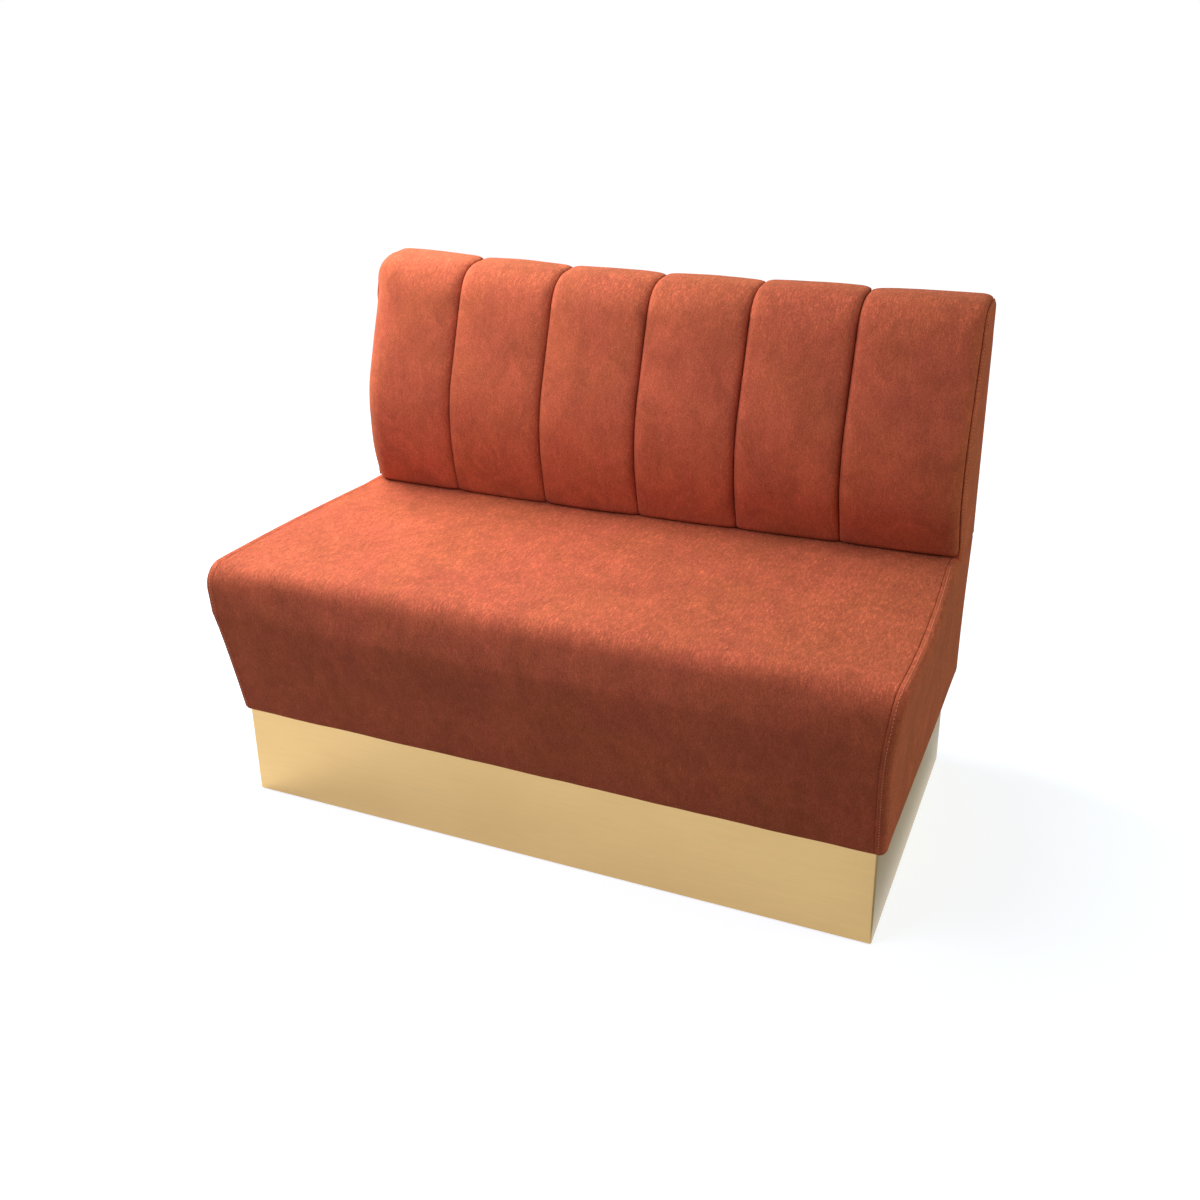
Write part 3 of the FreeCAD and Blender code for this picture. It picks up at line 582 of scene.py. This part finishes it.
def end_panels(side, suffix, material):
    """The sewn end panels of the seat and of the back."""
    def on_seat(out, y, z):
        return side * (SEAM_X + end_reach(suffix, y, z) + out), y, z + rear_rise(side * END_X, y, z)

    def on_back(out, y, z):
        return END_SEAM_X[suffix] + side * out, y, z

    flip = side > 0
    outline = seat_outline()
    seat = sewn_panel("seat_end_" + suffix, outline, SEAT_EDGE, SEAT_END_BULGE, on_seat, material, flip)
    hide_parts("seat_%s_end_cover" % suffix, "seat_%s_end_pad" % suffix)
    outline = back_outline(suffix)
    back = sewn_panel("back_end_" + suffix, outline, BACK_EDGE, BACK_END_BULGE, on_back, material, flip)
    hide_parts("back_%s_end_cover" % suffix, "back_%s_end_pad" % suffix)


def plate_outline(half, low, high):
    """A rectangle with rounded corners, as rows of (x, z)."""
    left, right = -half + REAR_ROUND, half - REAR_ROUND
    foot, top = low + REAR_ROUND, high - REAR_ROUND
    return even_path([arc((left, top), REAR_ROUND, math.pi, math.pi / 2),
                      arc((right, top), REAR_ROUND, math.pi / 2, 0.0),
                      arc((right, foot), REAR_ROUND, 0.0, -math.pi / 2),
                      arc((left, foot), REAR_ROUND, -math.pi / 2, -math.pi)], REAR_POINTS)[:-1]


def rear_panels(material):
    """The plain rear covers of the seat and of the back."""
    def on_rear(out, x, z):
        return x, REAR_Y + out, z

    seat_high = seat_top_z(REAR_Y) - SEAT_CROWN
    back_high = BACK_TOP - REAR_CORNER - REAR_FREE * REAR_WRAP
    half = END_SEAM_X["right"] - REAR_INSET
    spans = (("seat", SEAT_BOTTOM + REAR_HEM_GAP, seat_high),
             ("back", seat_high + REAR_JOINT_GAP, back_high))
    for part, low, high in spans:
        outline = plate_outline(half, low, high)
        panel = sewn_panel(part + "_rear", outline, REAR_EDGE, REAR_BULGE, on_rear, material)
        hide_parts(part + "_rear_cover")


# Swelling of the padded covers

def flute_seams(piece, index):
    """Points of a flute that its seams, its foot and its rear edge hold."""
    left, right = seam_places()[index:index + 2]
    low, high = left + SEAM_WIDTH / 2, right - SEAM_WIDTH / 2
    foot, rear = SEAT_TOP + HELD_FOOT, REAR_Y - HELD_REAR
    return [point.index for point in piece.data.vertices
            if point.co.x < low or point.co.x > high or point.co.z < foot or point.co.y > rear]


def seat_seams(piece):
    """Points of the seat panel that its end seams, its hem and the back hold."""
    reach, hem = GROOVE_X - HELD_GROOVE, SEAT_BOTTOM + HELD_FOOT
    return [point.index for point in piece.data.vertices
            if abs(point.co.x) > reach or point.co.z < hem or point.co.y > BACK_Y]


def add_cloth(piece, held, pressure):
    """Makes a piece cloth that air blows up, fixed at the held points."""
    group = piece.vertex_groups.new(name="sewn")
    group.add(held, 1.0, "REPLACE")
    cloth = piece.modifiers.new("swell", "CLOTH")
    cloth.settings.vertex_group_mass = "sewn"
    cloth.settings.quality = CLOTH_QUALITY
    cloth.settings.mass = CLOTH_MASS
    cloth.settings.tension_stiffness = CLOTH_STIFFNESS
    cloth.settings.compression_stiffness = CLOTH_STIFFNESS
    cloth.settings.shear_stiffness = CLOTH_STIFFNESS
    cloth.settings.bending_stiffness = CLOTH_BENDING
    cloth.settings.use_pressure = True
    cloth.settings.uniform_pressure_force = pressure
    cloth.settings.effector_weights.gravity = 0.0
    cloth.collision_settings.use_collision = False
    cloth.point_cache.frame_start = 1
    cloth.point_cache.frame_end = CLOTH_FRAMES


def keep_cloth(piece, graph):
    """Moves the mesh to the blown-up form, by no more than the cap."""
    mesh = piece.data
    rest = np.empty(3 * len(mesh.vertices))
    blown = np.empty(3 * len(mesh.vertices))
    mesh.vertices.foreach_get("co", rest)
    piece.evaluated_get(graph).data.vertices.foreach_get("co", blown)
    move = (blown - rest).reshape(-1, 3)
    far = np.linalg.norm(move, axis=1)
    share = CLOTH_CAP * np.tanh(far / CLOTH_CAP) / np.maximum(far, NO_MOVE)
    mesh.vertices.foreach_set("co", rest + (move * share[:, None]).ravel())


def swell(padded):
    """Blows covers up a little as cloth held at its seams: rows of (piece, held points, pressure)."""
    for row in padded:
        add_cloth(*row)
    scene = bpy.context.scene
    for step in range(1, CLOTH_FRAMES + 1):
        scene.frame_set(step)
    graph = bpy.context.evaluated_depsgraph_get()
    pieces = [row[0] for row in padded]
    for piece in pieces:
        keep_cloth(piece, graph)
    for piece in pieces:
        piece.modifiers.clear()
        piece.vertex_groups.clear()
        piece.data.update()
    scene.frame_set(1)


# Stitches

def stitches(name, points, outs, material):
    """Short threads laid along a line, each one a small spindle."""
    length = run_length(points)

    def at(station, rows):
        return Vector([np.interp(station, length, rows[:, axis]) for axis in range(3)])

    spindle = tube_faces(len(STITCH_PROFILE), STITCH_SIDES)
    turns = [math.tau * k / STITCH_SIDES for k in range(STITCH_SIDES)]
    verts, faces = [], []
    for start in np.arange(0.0, length[-1] - STITCH_LENGTH, STITCH_PITCH):
        base = len(verts)
        for share, full in STITCH_PROFILE:
            station = start + STITCH_LENGTH * share
            place = at(station, points)
            out = at(station, outs).normalized()
            along = (at(station + STITCH_AHEAD, points) - place).normalized()
            side = along.cross(out)
            core = place + out * (full - STITCH_SINK) * STITCH_RADIUS
            for turn in turns:
                way = out * math.cos(turn) + side * math.sin(turn)
                verts.append(core + way * full * STITCH_RADIUS)
        faces += [tuple(base + corner for corner in face) for face in spindle]
    new_piece(name, verts, faces, material)


def seam_stitches(side, suffix, material):
    """Top stitching along the seat's ends and along the end seams of the back."""
    path = seat_path("end")
    normals = inward(path)
    shown = (path[:, 0] < BACK_Y + TOPSTITCH_END) & (path[:, 1] > SEAT_BOTTOM + TOPSTITCH_START)
    path, normals = path[shown], normals[shown]
    drop = seat_drop(side * TOPSTITCH_X, path[:, 0], path[:, 1])
    line = path + normals * TOPSTITCH_DEPTH
    across = side * TOPSTITCH_X * (1 + end_reach(suffix, line[:, 0], line[:, 1]) / END_X)
    points = np.column_stack([across, line[:, 0], line[:, 1] - drop])
    outs = np.column_stack([np.zeros(len(line)), -normals])
    stitches("seat_stitches_" + suffix, points, outs, material)
    outline = back_outline(suffix)
    shown = (outline[:, 0] < REAR_Y - BACK_STITCH_END) & (outline[:, 1] > SEAT_TOP + BACK_STITCH_START)
    line = (outline + inward(outline, closed=True) * BACK_STITCH_INSET)[shown]
    x = END_SEAM_X[suffix] + side * BACK_STITCH_OUT
    points = np.column_stack([np.full(len(line), x), line])
    outs = np.tile([float(side), 0.0, 0.0], (len(line), 1))
    stitches("back_stitches_" + suffix, points, outs, material)


# Materials

NOISE_BAND = (0.3, 0.7)  # where most values of a noise lie
UPWARD_BAND = (0.4, 0.9)  # upright share of a face's normal, from a front to a top


def node_material(name):
    """An empty material with one shader, ready for its textures."""
    material = bpy.data.materials.new(name)
    material.use_nodes = True
    tree = material.node_tree
    tree.nodes.clear()
    output = tree.nodes.new("ShaderNodeOutputMaterial")
    shader = tree.nodes.new("ShaderNodeBsdfPrincipled")
    tree.links.new(shader.outputs["BSDF"], output.inputs["Surface"])
    coords = tree.nodes.new("ShaderNodeTexCoord")
    return material, tree, shader, coords


def feed(tree, value, socket):
    """Links another socket to an input, or sets a plain value there."""
    if isinstance(value, bpy.types.NodeSocket):
        tree.links.new(value, socket)
    else:
        socket.default_value = value


def texture(tree, coords, scale, detail=3.0, rough=0.55, stretch=(1, 1, 1), turn=(0, 0, 0), warp=0.0):
    """Noise in the part's own space, stretched along one direction where asked."""
    place = tree.nodes.new("ShaderNodeMapping")
    place.inputs["Scale"].default_value = stretch
    place.inputs["Rotation"].default_value = turn
    tree.links.new(coords.outputs["Object"], place.inputs["Vector"])
    node = tree.nodes.new("ShaderNodeTexNoise")
    node.inputs["Scale"].default_value = scale
    node.inputs["Detail"].default_value = detail
    node.inputs["Roughness"].default_value = rough
    node.inputs["Distortion"].default_value = warp
    tree.links.new(place.outputs["Vector"], node.inputs["Vector"])
    return node.outputs["Fac"]


def ramp(tree, factor, *stops):
    """Colours at places along a factor: rows of (place, colour)."""
    node = tree.nodes.new("ShaderNodeValToRGB")
    elements = node.color_ramp.elements
    while len(elements) < len(stops):
        elements.new(0.5)
    for element, (place, colour) in zip(elements, stops):
        element.position = place
        element.color = (*colour, 1.0)
    tree.links.new(factor, node.inputs["Fac"])
    return node.outputs["Color"]


def spread(tree, factor, band, values):
    """Turns a band of a factor into a band of values."""
    node = tree.nodes.new("ShaderNodeMapRange")
    for socket, value in zip(("From Min", "From Max", "To Min", "To Max"), (*band, *values)):
        node.inputs[socket].default_value = value
    tree.links.new(factor, node.inputs["Value"])
    return node.outputs["Result"]


def shade_by(tree, factor, first, second):
    """Multiplies one colour by another, as far as the factor says."""
    node = tree.nodes.new("ShaderNodeMix")
    node.data_type = "RGBA"
    node.blend_type = "MULTIPLY"
    for socket, value in (("Factor", factor), ("A", first), ("B", second)):
        feed(tree, value, node.inputs[socket])
    return node.outputs["Result"]


def add(tree, first, second, weight):
    """First plus weight times second."""
    node = tree.nodes.new("ShaderNodeMath")
    node.operation = "MULTIPLY_ADD"
    node.inputs[1].default_value = weight
    tree.links.new(second, node.inputs[0])
    tree.links.new(first, node.inputs[2])
    return node.outputs["Value"]


def bump(tree, height, strength, distance):
    node = tree.nodes.new("ShaderNodeBump")
    node.inputs["Strength"].default_value = strength
    node.inputs["Distance"].default_value = distance
    tree.links.new(height, node.inputs["Height"])
    return node.outputs["Normal"]


def upward(tree, coords, side, top):
    """One value on upright faces, another on faces that look up."""
    split = tree.nodes.new("ShaderNodeSeparateXYZ")
    tree.links.new(coords.outputs["Normal"], split.inputs["Vector"])
    return spread(tree, split.outputs["Z"], UPWARD_BAND, (side, top))


def grey(value):
    return (value, value, value)


def suede():
    """Rust suede-velvet: short brushed nap running down the cover, with smudges where hands passed; its
    streaks are painted brighter on faces that look up, as painted top light.
    """
    material, tree, shader, coords = node_material("rust_suede")
    nap = texture(tree, coords, scale=620.0, detail=2.0, rough=0.6, stretch=(1.0, 0.6, 0.6),
                  turn=(0.0, 0.0, 0.1), warp=0.4)
    stroke = texture(tree, coords, scale=310.0, detail=3.0, rough=0.65, stretch=(1.0, 0.26, 0.26),
                     turn=(0.1, 0.0, 0.15), warp=0.8)
    cloud = texture(tree, coords, scale=26.0, detail=4.0, rough=0.6, stretch=(1.0, 0.7, 0.7),
                    turn=(0.2, 0.1, 0.4), warp=1.0)
    smudge = texture(tree, coords, scale=7.0, detail=4.0, rough=0.6, stretch=(1.0, 1.0, 0.6),
                     turn=(0.0, 0.3, 0.2), warp=1.2)
    hue = texture(tree, coords, scale=6.0, detail=4.0, rough=0.6, turn=(0.4, 0.1, 0.0), warp=0.8)
    colour = ramp(tree, nap, (0.28, (0.370, 0.075, 0.037)), (0.72, (0.600, 0.142, 0.073)))
    # Painted top light: the nap's streaks (up to 1.6 times brighter) are mixed in fully on faces that
    # look up and at about a third on upright faces; the streaks themselves are the nap's own colour.
    nap_lay_and_painted_top_light = ramp(tree, stroke, (0.30, grey(0.70)), (0.55, grey(1.0)), (0.74, grey(1.60)))
    colour = shade_by(tree, upward(tree, coords, side=0.35, top=1.0), colour, nap_lay_and_painted_top_light)
    tint = ramp(tree, hue, (0.35, (1.02, 0.95, 1.05)), (0.65, (0.98, 1.06, 0.90)))
    colour = shade_by(tree, 0.6, colour, tint)
    colour = shade_by(tree, 0.8, colour, ramp(tree, cloud, (0.30, grey(0.82)), (0.70, grey(1.14))))
    colour = shade_by(tree, 0.7, colour, ramp(tree, smudge, (0.30, grey(0.82)), (0.60, grey(1.04))))
    tree.links.new(colour, shader.inputs["Base Color"])
    tree.links.new(spread(tree, stroke, NOISE_BAND, (0.82, 0.96)), shader.inputs["Roughness"])
    shader.inputs["Specular IOR Level"].default_value = 0.12
    shader.inputs["Sheen Weight"].default_value = 0.20
    shader.inputs["Sheen Roughness"].default_value = 0.45
    shader.inputs["Sheen Tint"].default_value = (1.0, 0.45, 0.24, 1.0)
    height = add(tree, nap, stroke, weight=0.8)
    tree.links.new(bump(tree, height, strength=0.5, distance=0.0010), shader.inputs["Normal"])
    return material


def thread():
    """Twisted sewing thread, a little lighter than the cover."""
    material, tree, shader, coords = node_material("rust_thread")
    twist = texture(tree, coords, scale=900.0, detail=2.0, rough=0.5, stretch=(1.0, 0.4, 0.4))
    colour = ramp(tree, twist, (0.3, (0.55, 0.17, 0.08)), (0.7, (0.80, 0.32, 0.17)))
    tree.links.new(colour, shader.inputs["Base Color"])
    tree.links.new(spread(tree, twist, NOISE_BAND, (0.45, 0.65)), shader.inputs["Roughness"])
    tree.links.new(bump(tree, twist, strength=0.4, distance=0.0003), shader.inputs["Normal"])
    return material


def satin_brass():
    """Satin brass sheet with a fine grain along its length and a clear lacquer."""
    material, tree, shader, coords = node_material("satin_brass_sheet")
    grain = texture(tree, coords, scale=260.0, detail=3.0, rough=0.6, stretch=(0.06, 0.06, 1.0))
    cloud = texture(tree, coords, scale=5.0, detail=3.0, rough=0.5, stretch=(0.6, 0.6, 1.0))
    colour = ramp(tree, cloud, (0.30, (0.68, 0.455, 0.180)), (0.70, (0.75, 0.515, 0.215)))
    colour = shade_by(tree, 0.5, colour, ramp(tree, grain, (0.35, grey(0.95)), (0.65, grey(1.03))))
    tree.links.new(colour, shader.inputs["Base Color"])
    shader.inputs["Metallic"].default_value = 1.0
    rough = add(tree, spread(tree, cloud, NOISE_BAND, (0.30, 0.38)), grain, weight=0.06)
    tree.links.new(rough, shader.inputs["Roughness"])
    shader.inputs["Coat Weight"].default_value = 1.0
    shader.inputs["Coat Roughness"].default_value = 0.22
    shader.inputs["Coat IOR"].default_value = 1.5
    tree.links.new(bump(tree, grain, strength=0.06, distance=0.0004), shader.inputs["Normal"])
    return material


def wood(name, dark, light, scale):
    """Grain along X with fine pores."""
    material, tree, shader, coords = node_material(name)
    grain = texture(tree, coords, scale, detail=5.0, rough=0.6, stretch=(0.12, 1.0, 1.0),
                    turn=(0.02, 0.0, 0.04), warp=0.8)
    pore = texture(tree, coords, scale * 9, detail=2.0, rough=0.5, stretch=(0.05, 1.0, 1.0))
    colour = ramp(tree, grain, (0.30, dark), (0.70, light))
    colour = shade_by(tree, 0.6, colour, ramp(tree, pore, (0.35, grey(0.85)), (0.6, grey(1.0))))
    tree.links.new(colour, shader.inputs["Base Color"])
    tree.links.new(spread(tree, grain, NOISE_BAND, (0.55, 0.75)), shader.inputs["Roughness"])
    tree.links.new(bump(tree, pore, strength=0.25, distance=0.0005), shader.inputs["Normal"])
    return material


def zinc_steel():
    """Zinc-plated bolts, nuts and stems, with a dull bloom."""
    material, tree, shader, coords = node_material("zinc_plated_steel")
    bloom = texture(tree, coords, scale=220.0, detail=4.0, rough=0.6)
    colour = ramp(tree, bloom, (0.3, (0.50, 0.51, 0.52)), (0.7, (0.66, 0.66, 0.64)))
    tree.links.new(colour, shader.inputs["Base Color"])
    shader.inputs["Metallic"].default_value = 1.0
    tree.links.new(spread(tree, bloom, NOISE_BAND, (0.28, 0.45)), shader.inputs["Roughness"])
    tree.links.new(bump(tree, bloom, strength=0.1, distance=0.0003), shader.inputs["Normal"])
    return material


def black_plastic():
    """Moulded plastic with a fine pebbled face."""
    material, tree, shader, coords = node_material("moulded_black_plastic")
    pebble = texture(tree, coords, scale=700.0, detail=2.0, rough=0.5)
    colour = ramp(tree, pebble, (0.3, grey(0.012)), (0.7, grey(0.024)))
    tree.links.new(colour, shader.inputs["Base Color"])
    tree.links.new(spread(tree, pebble, NOISE_BAND, (0.42, 0.6)), shader.inputs["Roughness"])
    tree.links.new(bump(tree, pebble, strength=0.3, distance=0.0002), shader.inputs["Normal"])
    return material


def foam():
    """Cut upholstery foam with open cells."""
    material, tree, shader, coords = node_material("cut_foam")
    cells = texture(tree, coords, scale=600.0, detail=3.0, rough=0.6)
    colour = ramp(tree, cells, (0.3, (0.62, 0.54, 0.36)), (0.7, (0.84, 0.78, 0.60)))
    tree.links.new(colour, shader.inputs["Base Color"])
    tree.links.new(spread(tree, cells, NOISE_BAND, (0.85, 0.98)), shader.inputs["Roughness"])
    tree.links.new(bump(tree, cells, strength=0.6, distance=0.0008), shader.inputs["Normal"])
    return material


def dress_nodes(materials):
    """Gives each CAD node the material of its slot."""
    for part in frame["record"]["subparts"]:
        node = frame["nodes"][part["node"]]
        node.data.materials.clear()
        node.data.materials.append(materials[part["material_slot"]])


# Studio

def mirrored_rays(tree, rays):
    """1 for rays that come from a mirroring or a clear surface."""
    node = tree.nodes.new("ShaderNodeMath")
    node.operation = "MAXIMUM"
    tree.links.new(rays["Is Glossy Ray"], node.inputs[0])
    tree.links.new(rays["Is Transmission Ray"], node.inputs[1])
    return node.outputs["Value"]


def mix_shaders(tree, factor, first, second):
    node = tree.nodes.new("ShaderNodeMixShader")
    tree.links.new(factor, node.inputs["Fac"])
    tree.links.new(first, node.inputs[1])
    tree.links.new(second, node.inputs[2])
    return node.outputs["Shader"]


def shade_by_ray(tree, light, mirrored, seen, output):
    """One shade as light on the bench, one in reflections and one to the eye."""
    rays = tree.nodes.new("ShaderNodeLightPath").outputs
    shade = mix_shaders(tree, mirrored_rays(tree, rays), light, mirrored)
    shade = mix_shaders(tree, rays["Is Camera Ray"], shade, seen)
    tree.links.new(shade, output.inputs["Surface"])


def studio_world():
    """White to the eye, bright in reflections and a dim even light on the bench."""
    world = bpy.data.worlds.new("studio")
    bpy.context.scene.world = world
    world.use_nodes = True
    tree = world.node_tree
    tree.nodes.clear()
    output = tree.nodes.new("ShaderNodeOutputWorld")
    shades = []
    for strength, colour in (WORLD_LIGHT, WORLD_MIRRORED, WORLD_SEEN):
        shade = tree.nodes.new("ShaderNodeBackground")
        shade.inputs["Color"].default_value = (*colour, 1.0)
        shade.inputs["Strength"].default_value = strength
        shades.append(shade.outputs["Background"])
    shade_by_ray(tree, *shades, output)


def floor_shade(tree, glow, paint):
    """Glow plus paint that takes light and shadow."""
    light = tree.nodes.new("ShaderNodeEmission")
    feed(tree, glow, light.inputs["Strength"])
    coat = tree.nodes.new("ShaderNodeBsdfDiffuse")
    coat.inputs["Color"].default_value = (*paint, 1.0)
    total = tree.nodes.new("ShaderNodeAddShader")
    tree.links.new(light.outputs["Emission"], total.inputs[0])
    tree.links.new(coat.outputs["BSDF"], total.inputs[1])
    return total.outputs["Shader"]


def studio_floor():
    """A pale floor with a soft shadow, white further out, and dark in reflections beside the right end,
    a painted shadow where the plinth's end mirrors it.
    """
    mesh = bpy.data.meshes.new("floor")
    corners = [(x * FLOOR_REACH, y * FLOOR_REACH, 0) for x, y in ((-1, -1), (1, -1), (1, 1), (-1, 1))]
    mesh.from_pydata(corners, [], [(0, 1, 2, 3)])
    floor = bpy.data.objects.new("floor", mesh)
    bpy.context.scene.collection.objects.link(floor)
    material = bpy.data.materials.new("pale_floor")
    material.use_nodes = True
    tree = material.node_tree
    tree.nodes.clear()
    output = tree.nodes.new("ShaderNodeOutputMaterial")
    place = tree.nodes.new("ShaderNodeTexCoord").outputs["Object"]
    split = tree.nodes.new("ShaderNodeSeparateXYZ")
    tree.links.new(place, split.inputs["Vector"])
    away = tree.nodes.new("ShaderNodeVectorMath")
    away.operation = "LENGTH"
    tree.links.new(place, away.inputs[0])
    # Painted shadow on the floor, seen only in reflections, beside the plinth's right end.
    mirrored_glow_with_painted_shadow = spread(tree, split.outputs["X"], FLOOR_PAINTED_SHADOW_X, FLOOR_MIRRORED_GLOW_AND_PAINTED_SHADOW)
    seen_glow = spread(tree, away.outputs["Value"], FLOOR_AWAY, FLOOR_GLOW_SEEN)
    shade_by_ray(tree, floor_shade(tree, 0.0, grey(FLOOR_PAINT_LIGHT)),
                 floor_shade(tree, mirrored_glow_with_painted_shadow, grey(FLOOR_PAINT_MIRRORED)),
                 floor_shade(tree, seen_glow, FLOOR_PAINT_SEEN), output)
    mesh.materials.append(material)


def area_light(name, place, target, size, power, colour):
    """A soft lamp that shines from its place towards a target."""
    data = bpy.data.lights.new(name, "AREA")
    data.shape = "RECTANGLE"
    data.size, data.size_y = size
    data.energy = power
    data.color = colour
    lamp = bpy.data.objects.new(name, data)
    lamp.location = place
    aim = Vector(target) - Vector(place)
    lamp.rotation_euler = aim.to_track_quat("-Z", "Y").to_euler()
    lamp.visible_camera = False
    bpy.context.scene.collection.objects.link(lamp)


def studio_lights():
    """A main lamp above the left end, a fill in front of the back and a window off the right end."""
    area_light("overhead", place=(-1.25, 0.35, 1.70), target=(-0.10, -0.05, 0.45), size=(1.2, 0.8),
               power=45.0, colour=(1.0, 0.97, 0.87))
    area_light("front_left", place=(-0.3, -0.62, 1.36), target=(-0.05, 0.0, 0.55), size=(1.0, 0.8),
               power=6.7, colour=(0.98, 0.97, 1.12))
    area_light("right_window", place=(3.0, 0.2, 1.2), target=(0.6, 0.0, 0.4), size=(1.6, 1.6),
               power=23.0, colour=(0.84, 1.0, 0.66))


def photo_camera():
    """The camera fitted to the photograph."""
    back = Vector((math.sin(CAMERA_TURN) * math.cos(CAMERA_TILT),
                   -math.cos(CAMERA_TURN) * math.cos(CAMERA_TILT), math.sin(CAMERA_TILT)))
    right = Vector((math.cos(CAMERA_TURN), math.sin(CAMERA_TURN), 0.0))
    up = back.cross(right)
    turn, lift = math.cos(CAMERA_ROLL), math.sin(CAMERA_ROLL)
    axes = Matrix((turn * right + lift * up, turn * up - lift * right, back)).transposed()
    data = bpy.data.cameras.new("photo_camera")
    data.sensor_width = CAMERA_SENSOR
    data.lens = CAMERA_LENS
    data.shift_x, data.shift_y = CAMERA_SHIFT
    camera = bpy.data.objects.new("photo_camera", data)
    camera.matrix_world = Matrix.Translation(CAMERA_PLACE) @ axes.to_4x4()
    bpy.context.scene.collection.objects.link(camera)
    bpy.context.scene.camera = camera


def build():
    """Makes the covers and their stitching, gives every node its material and sets up the studio."""
    cover = suede()
    sewing = thread()
    dress_nodes({
        "rust_fabric": cover,
        "foam": foam(),
        "plywood": wood("birch_plywood", (0.42, 0.28, 0.15), (0.66, 0.50, 0.31), scale=14.0),
        "timber": wood("spruce_timber", (0.46, 0.30, 0.14), (0.70, 0.52, 0.29), scale=18.0),
        "hardboard": wood("brown_hardboard", (0.13, 0.075, 0.04), (0.22, 0.14, 0.08), scale=90.0),
        "satin_brass": satin_brass(),
        "zinc_steel": zinc_steel(),
        "black_plastic": black_plastic(),
    })
    padded = []
    for index in range(CHANNELS):
        piece = flute(index, cover)
        padded.append((piece, flute_seams(piece, index), FLUTE_PRESSURE))
    seat = seat_panel(cover)
    padded.append((seat, seat_seams(seat), SEAT_PRESSURE))
    swell(padded)
    for side, suffix in ((-1, "left"), (1, "right")):
        end_panels(side, suffix, cover)
        seam_stitches(side, suffix, sewing)
    rear_panels(cover)
    studio_world()
    studio_floor()
    studio_lights()
    photo_camera()
    bpy.context.scene.view_settings.view_transform = "Standard"


build()
